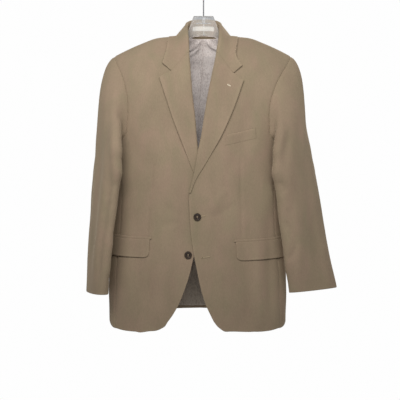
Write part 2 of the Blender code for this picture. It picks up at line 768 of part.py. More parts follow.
def sleeve_grid(side):
    """Sleeve's outer points: a cap drawn out of the armhole, then rings down to the cuff."""
    sign = 1 if side == "left" else -1
    points, out, away = armhole_loop(sign)
    steps = np.linalg.norm(np.roll(points, -1, axis=0) - points, axis=1)
    way = np.concatenate(([0.0], np.cumsum(steps)[:-1])) / steps.sum()
    angles, along_share, out_share = through(CAP_ROWS, way).T
    start = points + away * SEAM
    upper, axis = section(side, SLEEVE_ROWS[side][-1][0], angles)
    reach = np.linalg.norm(upper - start, axis=1)[:, None]
    leave = unit(away * along_share[:, None] + out * out_share[:, None])
    leave = leave * (CAP_LEAVE[0] * reach + CAP_LEAVE[1])
    arrive = axis * CAP_ARRIVE * reach
    v = np.array(CAP_STEPS)[:, None, None]
    cap = (2 * v**3 - 3 * v**2 + 1) * start + (v**3 - 2 * v**2 + v) * leave
    cap = cap + (3 * v**2 - 2 * v**3) * upper + (v**3 - v**2) * arrive
    heights = np.linspace(SLEEVE_ROWS[side][-1][0], SLEEVE_ROWS[side][0][0], 8)[1:]
    rings = np.array([section(side, z, angles)[0] for z in heights])
    return np.concatenate((cap, rings)), out


def sleeve(side):
    """Two-piece sleeve, parted into a top and an under sleeve."""
    grid, out = sleeve_grid(side)
    wrapped = np.concatenate((grid[:, -1:], grid, grid[:, :1]), axis=1)
    normals = grid_normals(wrapped)[:, 1:-1]
    centre = grid.mean(axis=1, keepdims=True)
    outward = np.sum(normals[-1] * (grid[-1] - centre[-1]), axis=-1)
    if np.median(outward) < 0:
        normals = -normals
    normals[0] = out
    normals[1] = unit(out + normals[1])
    inner = grid - normals * CLOTH
    count = grid.shape[1]
    front_seam = ARM_INTERVALS
    back_seam = ARM_INTERVALS + UNDERARM_INTERVALS + 2
    pieces = {
        "top": np.arange(back_seam, count + front_seam + 1) % count,
        "under": np.arange(front_seam, back_seam + 1),
    }
    for piece, columns in pieces.items():
        add_wall("sleeve_" + piece + "_" + side, grid[:, columns], inner[:, columns])


def lapel_grid(side):
    """Middle of a lapel: columns from the tuck behind the crease, round the fold and over the front."""
    sign = 1 if side == "left" else -1
    ways = np.linspace(LAPEL_START, 1.0, LAPEL_ROWS)
    crease = path(CREASE[side], ways)
    ahead = path(CREASE[side], np.minimum(ways + WAY_STEP, 1.0))
    tangent = unit(ahead - path(CREASE[side], ways - WAY_STEP))
    inward = np.column_stack((tangent[:, 1], -tangent[:, 0])) * sign
    start = crease[0] + np.array((LAPEL_STUB * sign, LAPEL_STUB / 2))
    edge = path((start, *LAPEL_EDGE[side]), np.linspace(0.0, 1.0, LAPEL_ROWS))
    gorge = np.linspace(crease[-1], NOTCH[side], GORGE_SAMPLES)
    top = np.vstack((gorge, np.linspace(NOTCH[side], edge[-1], TIP_SAMPLES + 1)[1:]))
    face = coons(np.linspace(crease[0], edge[0], len(top)), top, crease, edge)
    rise = LAPEL_RISE + LAPEL_ROLL * (1 - np.linspace(0.0, 1.0, len(top))) ** 2
    turn = np.radians(FOLD_TURNS)
    distance = np.concatenate((np.linspace(LAPEL_TUCK, 0.0, TUCK_SAMPLES), -FOLD_RADIUS * np.sin(turn)))
    fold = INSIDE + FOLD_RADIUS * (1 - np.cos(turn))
    height = np.concatenate((np.full(TUCK_SAMPLES, INSIDE), fold, rise))
    roll = crease[:, None] + inward[:, None] * distance[None, :, None]
    plan = np.concatenate((roll, face), axis=1)
    return on_front(side, plan[..., 0], plan[..., 1], np.broadcast_to(height, plan.shape[:2]))


def collar_half(side):
    """Middle of half the collar: rows from centre back to the gorge, columns as on the lapel."""
    sign = 1 if side == "left" else -1
    centre_back = charted(np.array(((0.0, BACK_NECK),)), True)
    seam = np.vstack((centre_back, neck_back(sign), neck_front(side)[-2::-1]))
    seam_points = over(*seam.T)
    seam_out = normal(over, *seam.T)
    away = unit(np.cross(np.gradient(seam_points, axis=0), seam_out)) * sign
    steps = np.linalg.norm(np.diff(seam_points, axis=0), axis=1)
    ways = np.concatenate(([0.0], np.cumsum(steps))) / steps.sum()
    tip = np.linspace(NOTCH[side], COLLAR_TIP[side], TIP_SAMPLES + 1)[1:]
    tip = on_front(side, tip[:, 0], tip[:, 1], np.full(TIP_SAMPLES, LAPEL_RISE))
    last = np.vstack((lapel_grid(side)[-1, :-TIP_SAMPLES], tip))
    apex = TUCK_SAMPLES + len(FOLD_TURNS) // 2
    crease = path((*np.multiply(COLLAR_CREASE, (sign, 1, 1)), last[apex]), ways)
    towards = unit(np.gradient(crease, axis=0))
    gorge_share = ease(COLLAR_TURNS, 1.0, ways)[:, None]
    level_out = unit(np.column_stack((crease[:, 0], crease[:, 1] - NECK_MIDDLE, 0.0 * ways)))
    outward = unit(level_out * (1 - gorge_share) + seam_out * gorge_share)
    outward = unit(outward - towards * np.sum(outward * towards, axis=1, keepdims=True))
    up = unit(np.cross(towards, outward)) * sign
    radius = COLLAR_FOLD * (1 - gorge_share) + FOLD_RADIUS * gorge_share
    centre = crease - up * radius
    inside = seam_points + seam_out * INSIDE
    root = inside + away * COLLAR_CLEAR
    fold_start = centre - outward * radius
    columns = [inside - away * COLLAR_TUCK, root, (root + fold_start) / 2, fold_start]
    for turn in np.radians(FOLD_TURNS):
        columns.append(centre - outward * radius * math.cos(turn) + up * radius * math.sin(turn))
    edge_back = charted(np.multiply(COLLAR_EDGE_BACK, (sign, 1)), True)
    edge_front = charted(np.multiply(COLLAR_EDGE_FRONT[side], (sign, 1)))
    edge_ridge = np.array(((sign * COLLAR_EDGE_RIDGE, math.pi / 2),))
    edge = path(np.vstack((edge_back, edge_ridge, edge_front, from_front([COLLAR_TIP[side]]))), ways)
    rise = LAPEL_RISE + COLLAR_EASE * (1 - gorge_share)
    edge = over(*edge.T) + normal(over, *edge.T) * rise
    edge[-1] = last[-1]
    fall_start = centre + outward * radius
    fall_start[-1] = last[TUCK_SAMPLES + len(FOLD_TURNS)]
    end = last[TUCK_SAMPLES + len(FOLD_TURNS) :]
    fall = coons(np.linspace(fall_start[0], edge[0], len(end)), end, fall_start, edge)
    bulge = np.sin(np.pi * np.linspace(0.0, 1.0, len(end)))[None, :, None] * COLLAR_BULGE
    fall = clear_of_body(fall + outward[:, None] * bulge * (1 - gorge_share[:, None]), rise)
    grid = np.concatenate((np.stack(columns, axis=1), fall), axis=1)
    grid[-1] = last
    return grid


def clear_of_body(points, rise):
    """Points pushed out along the body's normals until they are at least a rise above it."""

    def depth(at):
        across = at[..., 0] - lean(at[..., 2])
        width, front, back, _ = np.moveaxis(through(BODY_ROWS, at[..., 2]), -1, 0)
        flat = power(1.0 - np.abs(across / width) ** ROUND, 1.0 / ROUND)
        reach = np.where(at[..., 1] < 0, front, back) * flat
        height = np.maximum((at[..., 2] - ridge(across)) / CLOSE + 1.0, 0.0)
        return np.sqrt((at[..., 1] / reach) ** 2 + height**2)

    step = 1e-5
    for _ in range(4):
        value = depth(points)
        slope = np.stack([(depth(points + step * axis) - value) / step for axis in np.eye(3)], axis=-1)
        size = np.linalg.norm(slope, axis=-1)
        distance = (value - 1.0) / size
        push = np.maximum(rise - distance, 0.0)
        points = points + slope / size[..., None] * push[..., None]
    return points


def add_middle(name, middle):
    """Wall of the lapel's thickness about a grid."""
    out = grid_normals(middle) * LAPEL / 2
    add_wall(name, middle + out, middle - out)


def neck_label(middle):
    """Bare woven strip on the inside of the collar stand."""
    centre = len(middle) // 2
    rows = middle[centre - LABEL_ROWS : centre + LABEL_ROWS + 1]
    facing = grid_normals(middle)[centre - LABEL_ROWS : centre + LABEL_ROWS + 1, 2:3]
    facing = facing * np.sign(-facing[LABEL_ROWS, 0, 1])
    root = rows[:, 1:2]
    strip = root + (rows[:, 3:4] - root) * np.array(LABEL_SHARES)[None, :, None]
    rise = LAPEL / 2 + LABEL
    add_wall("neck_label", strip + facing * (rise + LABEL), strip + facing * rise, 0.0)


def lining_back(side):
    """Back lining, hung inside the back from below the neck seam to above the hem."""
    sign = 1 if side == "left" else -1
    rows = np.linspace(0.0, 1.0, LINING_ROWS)
    heights = np.interp(rows, *np.transpose(LINING_HEIGHTS))
    opened = LINING_VENT[side]
    inner_x = sign * (LINING_CLOSED + (opened - LINING_CLOSED) * ease(LINING_SLIT, VENT_TOP, heights))
    inner = charted(np.column_stack((inner_x, heights)), True)
    outer = charted(path(np.multiply(LINING_EDGE, (sign, 1)), rows), True)
    breadths = np.linspace(inner[-1, 0], outer[-1, 0], LINING_COLUMNS)
    top = charted(np.column_stack((breadths, through(LINING_TOP, np.abs(breadths))[:, 0])), True)
    breadths = np.linspace(inner[0, 0], outer[0, 0], LINING_COLUMNS)
    low = np.linspace(LINING_HEIGHTS[0][1], LINING_EDGE[0][1], LINING_COLUMNS)
    bottom = charted(np.column_stack((breadths, low)), True)
    grid = coons(bottom, top, inner, outer)
    rise = -(CLOTH + LINING_GAP + LINING)
    add_sheet("lining_back_" + side, over, grid[..., 0], grid[..., 1], rise, LINING)


def along_section(q, z, length, sign):
    """q after a length along the level section, from q away from the centre front."""
    ways = np.linspace(q, sign * SEAM_BACK, SEARCH)
    points = around(ways, np.full(SEARCH, z))
    way = np.concatenate(([0.0], np.cumsum(np.linalg.norm(np.diff(points, axis=0), axis=1))))
    return float(np.interp(length, way, ways))


def hip_pocket(side):
    """Pocket flap with rounded lower corners, and the jet above it."""
    sign = 1 if side == "left" else -1
    x, top_in, top_out, deep = FLAPS[side]
    chart = lapped(around) if side == "left" else around
    first = float(way_round(x, top_in))
    last = along_section(first, top_in, FLAP_LENGTH, sign)
    columns = np.array(FLAP_COLUMNS)
    ways = first + (last - first) * columns
    top = top_in + (top_out - top_in) * columns
    near = np.minimum(np.minimum(columns, 1 - columns) / FLAP_CORNER, 1.0)
    short = (1 - np.sqrt(1 - (1 - near) ** 2)) * FLAP_ROUND
    down = np.linspace(1.0, 0.0, 5)[:, None]
    z = top[None] - (deep - short)[None] * down
    q = np.broadcast_to(ways, z.shape)
    add_sheet("flap_" + side, chart, q, z, LAY, FLAP)
    margin = JET_MARGIN / FLAP_LENGTH
    jet_columns = np.linspace(-margin, 1 + margin, JET_SAMPLES)
    jet_ways = first + (last - first) * jet_columns
    jet_z = np.interp(jet_columns, columns, top) + np.array((LAY, LAY + JET))[:, None]
    add_sheet("jet_" + side, chart, np.broadcast_to(jet_ways, jet_z.shape), jet_z, LAY, CLOTH)


def breast_welt():
    """Slanted welt of the breast pocket, on the wearer's left front."""
    corners = np.array(WELT)
    across = np.linspace(0.0, 1.0, 7)[None, :, None]
    up = np.linspace(0.0, 1.0, 3)[:, None, None]
    low = corners[0] + (corners[1] - corners[0]) * across
    high = corners[3] + (corners[2] - corners[3]) * across
    plan = low + (high - low) * up
    breadth = plan[..., 0] - lean(plan[..., 1])
    levels = level(breadth, plan[..., 1])
    add_sheet("breast_welt", front_chart("left"), breadth, levels, LAY, CLOTH)


def button(name):
    """Turned button, standing a thread's breadth off the cloth."""
    side, x, z = BUTTONS[name]
    foot = on_front(side, np.array(x), np.array(z), np.array(BUTTON_STAND))
    above = on_front(side, np.array(x), np.array(z), np.array(BUTTON_STAND + BUTTON_RADIUS))
    axis = unit(above - foot)
    across = unit(np.cross((0.0, 0.0, 1.0), axis))
    up = np.cross(axis, across)
    turn = np.linspace(0.0, 2 * np.pi, BUTTON_SIDES + 1)[:-1]
    circle = across * np.cos(turn)[:, None] + up * np.sin(turn)[:, None]
    rings = np.array([foot + circle * radius + axis * height for radius, height in BUTTON_PROFILE])
    add_tube(name, rings)


def hanger_body():
    """Moulded hanger: a hub in the neck and two arms that follow the shoulder ridge."""
    outer = np.linspace(ARM_START, ARM_END, 8)
    tall = np.interp(outer, (outer[0], ARM_END), ARM_TALL)
    arm = np.column_stack((outer, ridge(outer) - ARM_UNDER, ridge(outer) - ARM_UNDER - tall))
    half = np.vstack((HANGER_ROWS, arm))
    end = half[-1]
    middle = (end[1] + end[2]) / 2
    half = np.vstack((half, (end[0] + TIP_LENGTH, middle + TIP_HALF, middle - TIP_HALF)))
    rows = np.vstack((half[:0:-1] * (-1, 1, 1), half))
    x, top, bottom = rows.T
    thick = np.interp(np.abs(x), (outer[0], ARM_END), ARM_HALF)
    thick[[0, -1]] *= TIP_THIN
    flat = thick - HANGER_BEVEL
    y = np.stack((-thick, -thick, -flat, flat, thick, thick, flat, -flat), axis=1)
    low = bottom + HANGER_BEVEL
    high = top - HANGER_BEVEL
    z = np.stack((low, high, top, top, high, low, bottom, bottom), axis=1)
    rings = np.stack((np.broadcast_to(x[:, None], y.shape), y, z), axis=-1)
    add_tube("hanger_body", rings[:, ::-1])


def hanger_hook():
    """Steel wire: a straight shank, a bend to one side and three quarters of a curl over the top."""
    shank = np.column_stack((np.zeros(4), np.linspace(HUB_TOP + SEAM, SHANK_TOP, 4)))
    radius = CURL + WIRE
    turn = np.radians(np.linspace(*CURL_TURN, 19))
    curl = np.column_stack((radius * np.cos(turn), radius * np.sin(turn) - CURL))
    v = np.linspace(0.0, 1.0, 6)[1:-1, None]
    reach = np.linalg.norm(curl[0] - shank[-1])
    leave = np.array((0.0, 1.0)) * reach
    arrive = np.array((-math.sin(turn[0]), math.cos(turn[0]))) * reach
    bend = (2 * v**3 - 3 * v**2 + 1) * shank[-1] + (v**3 - 2 * v**2 + v) * leave
    bend = bend + (3 * v**2 - 2 * v**3) * curl[0] + (v**3 - v**2) * arrive
    line = np.vstack((shank, bend, curl))
    tangent = unit(np.gradient(line, axis=0))
    side = np.column_stack((tangent[:, 1], 0.0 * tangent[:, 0], -tangent[:, 0]))
    around_wire = np.linspace(0.0, 2 * np.pi, 9)[:-1]
    centre = np.column_stack((line[:, 0], 0.0 * line[:, 0], line[:, 1]))
    circle = side[:, None] * np.cos(around_wire)[None, :, None]
    circle = circle + np.array((0.0, 1.0, 0.0)) * np.sin(around_wire)[None, :, None]
    add_tube("hanger_hook", centre[:, None] + circle * WIRE)


def material(name, colour, roughness, metallic=0.0):
    """A plain Principled material."""
    look = bpy.data.materials.new(name)
    look.use_nodes = True
    shader = look.node_tree.nodes["Principled BSDF"]
    shader.inputs["Base Color"].default_value = (*colour, 1.0)
    shader.inputs["Roughness"].default_value = roughness
    shader.inputs["Metallic"].default_value = metallic
    return look


def paint():
    """One material of its own for each object, by the start of its name."""
    looks = {
        "lining": ((0.42, 0.37, 0.35), 0.5, 0.0),
        "neck_label": ((0.70, 0.68, 0.63), 0.7, 0.0),
        "button": ((0.05, 0.035, 0.025), 0.35, 0.0),
        "hanger_body": ((0.62, 0.62, 0.66), 0.15, 0.0),
        "hanger_hook": ((0.60, 0.60, 0.62), 0.25, 1.0),
    }
    suede = ((0.30, 0.235, 0.17), 0.95, 0.0)
    for thing in bpy.context.scene.objects:
        match = [look for start, look in looks.items() if thing.name.startswith(start)]
        thing.data.materials.append(material(thing.name, *(match[0] if match else suede)))


def main():
    """Builds every piece."""
    for thing in list(bpy.data.objects):
        bpy.data.objects.remove(thing, do_unlink=True)
    for side in ("left", "right"):
        front_panel(side)
        side_panel(side)
        back_panel(side)
        sleeve(side)
        add_middle("lapel_" + side, lapel_grid(side))
        lining_back(side)
        hip_pocket(side)
    breast_welt()
    collar = np.concatenate((collar_half("right")[:0:-1], collar_half("left")))
    add_middle("collar", collar)
    neck_label(collar)
    for name in BUTTONS:
        button(name)
    hanger_body()
    hanger_hook()
    paint()


main()
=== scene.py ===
"""A faux suede sport coat on a clear moulded hanger, dressed for rendering.

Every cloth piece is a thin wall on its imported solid's form. It has soft folds, rolled edges, its
own sewing and a procedural cloth. Lengths are in metres and angles in degrees, and left and right
are the wearer's.
"""

import math

import bpy
import numpy as np
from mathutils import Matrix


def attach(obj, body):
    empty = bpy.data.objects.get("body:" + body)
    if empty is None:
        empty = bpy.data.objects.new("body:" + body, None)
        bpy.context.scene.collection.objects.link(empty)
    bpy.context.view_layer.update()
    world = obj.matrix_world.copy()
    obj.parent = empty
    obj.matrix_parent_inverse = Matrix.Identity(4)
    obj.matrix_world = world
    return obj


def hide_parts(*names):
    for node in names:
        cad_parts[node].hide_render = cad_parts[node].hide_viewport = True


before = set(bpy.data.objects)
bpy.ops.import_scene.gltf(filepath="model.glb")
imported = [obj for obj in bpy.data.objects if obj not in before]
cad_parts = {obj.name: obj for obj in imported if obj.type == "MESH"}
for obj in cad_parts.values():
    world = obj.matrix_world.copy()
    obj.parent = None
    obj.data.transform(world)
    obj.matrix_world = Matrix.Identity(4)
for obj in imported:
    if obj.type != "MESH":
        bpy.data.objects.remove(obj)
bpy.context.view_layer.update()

# Cloth and seams
CLOTH = 0.0020  # faux suede with its fusing
LAPEL = 0.0016  # facing and canvas of the lapels and the collar
LINING = 0.0010
SEAM = 0.0003  # left open between two sewn pieces
LAY = 0.0005  # left open under a piece that lies on another
INSIDE = -(CLOTH + LAY + LAPEL / 2)  # middle of what is tucked behind a panel's edge

# Body
ROUND = 2.6  # exponent of a level section
CLOSE = 0.170  # height over which the depth closes to the shoulder ridge
SEAM_FRONT = 0.365  # side front seam, as a part of the way from centre front to centre back
SEAM_BACK = 0.620  # side back seam
ARM_CORNER = -0.455  # height where those seams meet the armhole
ARM_BOTTOM = -0.475  # lowest point of the armhole
NECK_POINT = 0.070  # half breadth where the shoulder seam meets the collar
SHOULDER_POINT = 0.238
BACK_NECK = -0.152  # height of the neck seam at centre back
BACK_FIRST = 0.012  # half breadth of the strip along the centre back seam
TOP = math.pi / 2 - 0.0019  # level of the shoulder seam, just short of the ridge
UPPER_POWER = 1.4  # draws the upper rows together towards the shoulder
SEARCH = 401  # samples along a line that is measured

# height, half width, front depth, back depth, lean of the centre line along x
BODY_ROWS = (
    (-0.970, 0.2370, 0.0800, 0.0800, -0.0160),
    (-0.880, 0.2370, 0.0800, 0.0810, -0.0160),
    (-0.800, 0.2360, 0.0795, 0.0810, -0.0160),
    (-0.720, 0.2290, 0.0775, 0.0780, -0.0160),
    (-0.640, 0.2220, 0.0765, 0.0735, -0.0160),
    (-0.550, 0.2220, 0.0770, 0.0710, -0.0160),
    (-0.475, 0.2260, 0.0780, 0.0715, -0.0158),
    (-0.360, 0.2450, 0.0795, 0.0740, -0.0126),
    (-0.220, 0.2620, 0.0800, 0.0780, -0.0022),
    (-0.100, 0.2620, 0.0800, 0.0780, 0.0000),
)

# half breadth, height of the shoulder ridge; inside the neck point it only guides the cloth
RIDGE_ROWS = (
    (-0.020, -0.112),
    (0.000, -0.105),
    (0.020, -0.112),
    (0.040, -0.132),
    (0.055, -0.150),
    (0.070, -0.163),
    (0.085, -0.1655),
    (0.100, -0.1667),
    (0.130, -0.171),
    (0.157, -0.181),
    (0.205, -0.202),
    (0.238, -0.219),
    (0.270, -0.238),
)

# way round from centre front (0) to centre back (1), height of the hem
HEM_ROWS = (
    (0.0, -0.9505),
    (0.30, -0.950),
    (0.41, -0.942),
    (0.50, -0.930),
    (0.62, -0.922),
    (1.0, -0.908),
)
HEM_FRONT = -0.950  # middling heights of the hem
HEM_BACK = -0.910
HEM_POWER = 1.4  # draws the hem's columns together towards the front edge's rounded corner

# half breadth, height
ARMHOLE_FRONT = (
    (0.1935, -0.441),
    (0.1885, -0.410),
    (0.1870, -0.365),
    (0.1900, -0.340),
    (0.1980, -0.310),
    (0.2050, -0.290),
    (0.2170, -0.265),
    (0.2300, -0.240),
    (SHOULDER_POINT, -0.219),
)
ARMHOLE_BACK = (
    (0.2070, -0.440),
    (0.2040, -0.410),
    (0.2055, -0.370),
    (0.2080, -0.340),
    (0.2170, -0.290),
    (0.2240, -0.265),
    (0.2320, -0.240),
    (SHOULDER_POINT, -0.219),
)
NECKLINE_FRONT = ((0.0480, -0.203), (0.0580, -0.185), (0.0655, -0.172), (NECK_POINT, -0.163))
NECKLINE_BACK = (
    (BACK_FIRST, BACK_NECK),
    (0.020, -0.152),
    (0.040, -0.1525),
    (0.055, -0.1560),
    (NECK_POINT, -0.163),
)

# Fronts, by the wearer's side: x, z as seen from the front
FRONT_EDGE = {
    "left": (
        (0.0255, -0.9235),
        (0.0201, -0.9124),
        (0.0068, -0.8830),
        (-0.0065, -0.8405),
        (-0.0172, -0.7900),
        (-0.0250, -0.7500),
        (-0.0332, -0.6930),
        (-0.0370, -0.6350),
        (-0.0378, -0.6000),
    ),
    "right": (
        (-0.0880, -0.9180),
        (-0.0720, -0.8930),
        (-0.0517, -0.8457),
        (-0.0384, -0.8060),
        (-0.0277, -0.7606),
        (-0.0150, -0.7130),
        (-0.0010, -0.6600),
        (0.0045, -0.6300),
        (0.0045, -0.6000),
    ),
}
CREASE = {
    "left": (
        (-0.0378, -0.6000),
        (-0.0220, -0.5350),
        (-0.0109, -0.4740),
        (-0.0043, -0.4450),
        (0.0043, -0.3900),
        (0.0132, -0.3360),
        (0.0240, -0.2810),
        (0.0350, -0.2290),
        (0.0365, -0.2210),
    ),
    "right": (
        (0.0045, -0.6000),
        (-0.0100, -0.5350),
        (-0.0180, -0.4740),
        (-0.0210, -0.4450),
        (-0.0255, -0.3900),
        (-0.0320, -0.3360),
        (-0.0363, -0.2810),
        (-0.0405, -0.2290),
        (-0.0410, -0.2210),
    ),
}
LAPEL_EDGE = {
    "left": (
        (-0.0238, -0.5610),
        (0.0065, -0.5091),
        (0.0457, -0.4398),
        (0.0802, -0.3618),
        (0.1040, -0.2947),
    ),
    "right": (
        (-0.0238, -0.5394),
        (-0.0496, -0.4746),
        (-0.0692, -0.4229),
        (-0.0985, -0.3385),
        (-0.1149, -0.2863),
    ),
}
NOTCH = {"left": (0.0778, -0.2748), "right": (-0.0846, -0.2688)}
COLLAR_TIP = {"left": (0.1008, -0.2547), "right": (-0.1076, -0.2479)}
HEM_CORNER = {
    "left": ((0.0308, -0.9310), (0.0468, -0.9458), (0.0692, -0.9505)),
    "right": ((-0.0932, -0.9250), (-0.1094, -0.9426), (-0.1254, -0.9490)),
}

# height, how far the wearer's left front stands off to lap over the right one
LIFT_ROWS = (
    (-0.970, 0.0036),
    (-0.740, 0.0036),
    (-0.670, 0.0046),
    (-0.610, 0.0074),
    (-0.470, 0.0074),
    (-0.430, 0.0062),
    (-0.380, 0.0034),
    (-0.330, 0.0009),
    (-0.290, 0.0000),
    (-0.100, 0.0000),
)
LIFT_FULL = 0.030  # half breadth where it still stands off fully
LIFT_END = 0.145  # half breadth where it is back on the body

# Centre vent
VENT_CLOSED = -0.700  # height above which both backs are flush
VENT_TOP = -0.722
VENT_OPEN = -0.745  # height below which the underlap has its full breadth
VENT_FOLD = 0.036  # breadth of the underlap
VENT_PAST = 0.0008  # how far its cloth goes past centre back before the strip ends
CENTRE_STRIP = (0.0, 0.004, 0.008)  # half breadths of the columns along centre back
CENTRE_ROWS = (
    *np.linspace(-0.908, VENT_OPEN, 10),
    VENT_TOP,
    *np.linspace(VENT_CLOSED, -0.478, 10),
)
SIDE_ROWS = len(CENTRE_ROWS)  # rows from the hem to the armhole's corner, on every panel

# Sleeves: height, centre x, centre y, half length, half thickness, turn from the x axis in degrees
SLEEVE_ROWS = {
    "left": (
        (-0.845, 0.2905, -0.046, 0.0690, 0.018, 18.0),
        (-0.776, 0.2785, -0.044, 0.0690, 0.020, 26.0),
        (-0.727, 0.2714, -0.042, 0.0690, 0.022, 30.0),
        (-0.620, 0.2555, -0.040, 0.0700, 0.026, 33.0),
        (-0.540, 0.2430, -0.040, 0.0710, 0.031, 38.0),
    ),
    "right": (
        (-0.851, -0.2812, -0.053, 0.0645, 0.024, 111.0),
        (-0.742, -0.2768, -0.051, 0.0700, 0.022, 111.5),
        (-0.675, -0.2703, -0.050, 0.0730, 0.0225, 113.5),
        (-0.600, -0.2630, -0.051, 0.0750, 0.0235, 116.0),
        (-0.540, -0.2565, -0.052, 0.0765, 0.0250, 118.0),
    ),
}
SLEEVE_ROUND = 2.3  # exponent of a sleeve's section
AXIS_STEP = 0.001  # height over which the sleeve's axis is measured
CAP_LEAVE = (0.55, 0.02)  # how strongly the cap leaves the armhole: share of its reach, and more
CAP_ARRIVE = 0.9  # and how strongly it comes in along the sleeve's axis
# part of the way round the armhole, angle on the sleeve's section, share of the way out of
# the armhole that goes along the cloth, share along its normal
CAP_ROWS = (
    (0.00, 0.0, 1.00, -0.05),
    (0.25, 82.0, 0.80, 0.55),
    (0.50, 205.0, 0.60, 0.80),
    (0.75, 285.0, 0.80, 0.50),
    (1.00, 360.0, 1.00, -0.05),
)
CAP_STEPS = np.linspace(0.0, 1.0, 25) ** 1.3
SLEEVE_RINGS = 44
ARM_INTERVALS = 33  # sides of the armhole, front and back
UNDERARM_INTERVALS = 18
SHOULDER_SAMPLES = 28
NECK_INTERVALS = 15  # sides of the neck seam, on the back and on each front
BREAK_PART = 0.62  # part of the front edge that lies below the armhole's corner

# Back lining
LINING_GAP = 0.0022
LINING_ROWS = 40
LINING_COLUMNS = 28
LINING_CLOSED = 0.0004  # half breadth at centre back
LINING_SLIT = -0.690  # height below which the lining opens
LINING_VENT = {"left": 0.043, "right": -0.022}  # and beside the vent
# part of the way up, height at centre back
LINING_HEIGHTS = ((0.0, -0.900), (0.15, -0.760), (0.23, -0.722), (0.30, -0.690), (1.0, -0.1605))
# half breadth, height
LINING_EDGE = (
    (0.2205, -0.903),
    (0.2135, -0.720),
    (0.2067, -0.600),
    (0.2070, -0.500),
    (0.1960, -0.440),
    (0.1930, -0.390),
    (0.1940, -0.330),
    (0.1900, -0.245),
)
LINING_TOP = (
    (0.000, -0.1605),
    (0.020, -0.1605),
    (0.040, -0.1625),
    (0.058, -0.1710),
    (0.078, -0.1840),
    (0.110, -0.1880),
    (0.150, -0.2060),
    (0.190, -0.2450),
)

# Pockets: x of the inner end, heights of the flap's top at both ends, its depth
FLAPS = {
    "left": (0.0837, -0.7180, -0.7090, 0.0480),
    "right": (-0.1415, -0.7105, -0.7030, 0.0475),
}
FLAP_LENGTH = 0.150
FLAP_CORNER = 0.08  # part of the length that each lower corner's round takes
FLAP_ROUND = 0.010  # and its height
FLAP = 0.0025
JET = 0.0060
JET_MARGIN = 0.003  # how far the jet passes the flap at either end
WELT = ((0.0541, -0.4649), (0.1377, -0.4454), (0.1350, -0.4195), (0.0610, -0.4367))

BUTTON_RADIUS = 0.010
BUTTONS = {"button_upper": ("left", -0.0166, -0.6515), "button_lower": ("right", -0.0403, -0.7510)}
BUTTON_STAND = 0.0007  # a thread's breadth under the button

# Collar, for the wearer's left: x, y, z along the crease, from centre back
COLLAR_CREASE = (
    (0.000, 0.062, -0.106),
    (0.022, 0.057, -0.108),
    (0.038, 0.043, -0.114),
    (0.0455, 0.020, -0.123),
    (0.0455, -0.010, -0.135),
    (0.0435, -0.036, -0.155),
    (0.0400, -0.057, -0.184),
)
# half breadth and height along the collar's outer edge, on the back and then on the front
COLLAR_EDGE_BACK = ((0.0, -0.166), (0.030, -0.1665), (0.055, -0.170), (0.075, -0.173), (0.087, -0.170))
COLLAR_EDGE_FRONT = {
    "left": ((0.0925, -0.1745), (0.0905, -0.1950), (0.0890, -0.2160), (0.0895, -0.2327)),
    "right": ((0.0925, -0.1745), (0.0950, -0.2000), (0.0970, -0.2160), (0.1000, -0.2300)),
}
COLLAR_FOLD = 0.0045  # radius of the crease round the neck
LABEL = 0.0006  # thickness of the strip, and its gap from the stand
LABEL_HALF = 4  # rows of the stand on either side of centre back that it takes
LABEL_SHARES = (0.30, 0.60)  # its edges, as parts of the way up the stand
COLLAR_CLEAR = 0.002  # how far it goes straight on past the seam
COLLAR_TUCK = 0.005  # how far the stand reaches behind the neck seam
LAPEL_TUCK = 0.008  # how far the lapel's cloth reaches behind the crease
LAPEL_RISE = 0.0018  # the lapel's middle above the front
LAPEL_ROLL = 0.0008  # more than that at the crease
LAPEL_START = 0.03  # part of the crease below which there is no lapel
WAY_STEP = 0.01  # part of the crease over which its tangent is measured
LAPEL_STUB = 0.0015  # breadth of the lapel where it starts at the break
FOLD_RADIUS = (LAPEL_RISE + LAPEL_ROLL - INSIDE) / 2
FOLD_TURNS = tuple(range(18, 180, 18))  # degrees round the fold
TUCK_SAMPLES = 4
GORGE_SAMPLES = 14
TIP_SAMPLES = 8
LAPEL_ROWS = 44
COLLAR_EDGE_RIDGE = 0.0915  # half breadth of the collar's edge over the shoulder ridge
COLLAR_EASE = -0.0003  # the collar's rise over the lapel's, away from the gorge
COLLAR_BULGE = 0.0012
COLLAR_TURNS = 0.55  # part of the way round from which it goes over to the lapel's fold
NECK_MIDDLE = -0.005  # y of the axis that the stand faces away from
CLEAR_STEP = 1e-5  # length over which a slope is measured when the collar is pushed clear
CLEAR_ROUNDS = 4

# Hanger
WIRE = 0.0017  # radius of the hook's wire
WIRE_END = (0.97, 0.85, 0.6, 0.25)  # parts of it at the last places, for a rounded end
CURL = 0.0190  # inside radius of the curl
CURL_TURN = (-38.0, 205.0)  # degrees from which and to which the curl runs
SHANK_TOP = -0.062
HUB_TOP = -0.110
ARM_START = 0.090
ARM_END = 0.212
ARM_HALF = (0.0045, 0.0030)  # half thickness of the hanger at its neck and at its ends
# half breadth, top, bottom
HANGER_ROWS = (
    (0.0000, HUB_TOP, -0.163),
    (0.0265, HUB_TOP, -0.165),
    (0.0405, -0.1480, -0.170),
    (0.0520, -0.1620, -0.176),
    (0.0660, -0.1712, -0.183),
    (0.0780, -0.1716, -0.188),
)
ARM_TALL = (0.0190, 0.0140)  # height of an arm at the neck and at its end
ARM_UNDER = 0.0037  # the arm's top under the ridge


def hermite(t, start, leave, end, arrive):
    """Cubic from a start, with the slope leave, to an end, with the slope arrive."""
    head = (2 * t**3 - 3 * t**2 + 1) * start + (t**3 - 2 * t**2 + t) * leave
    return head + (3 * t**2 - 2 * t**3) * end + (t**3 - t**2) * arrive


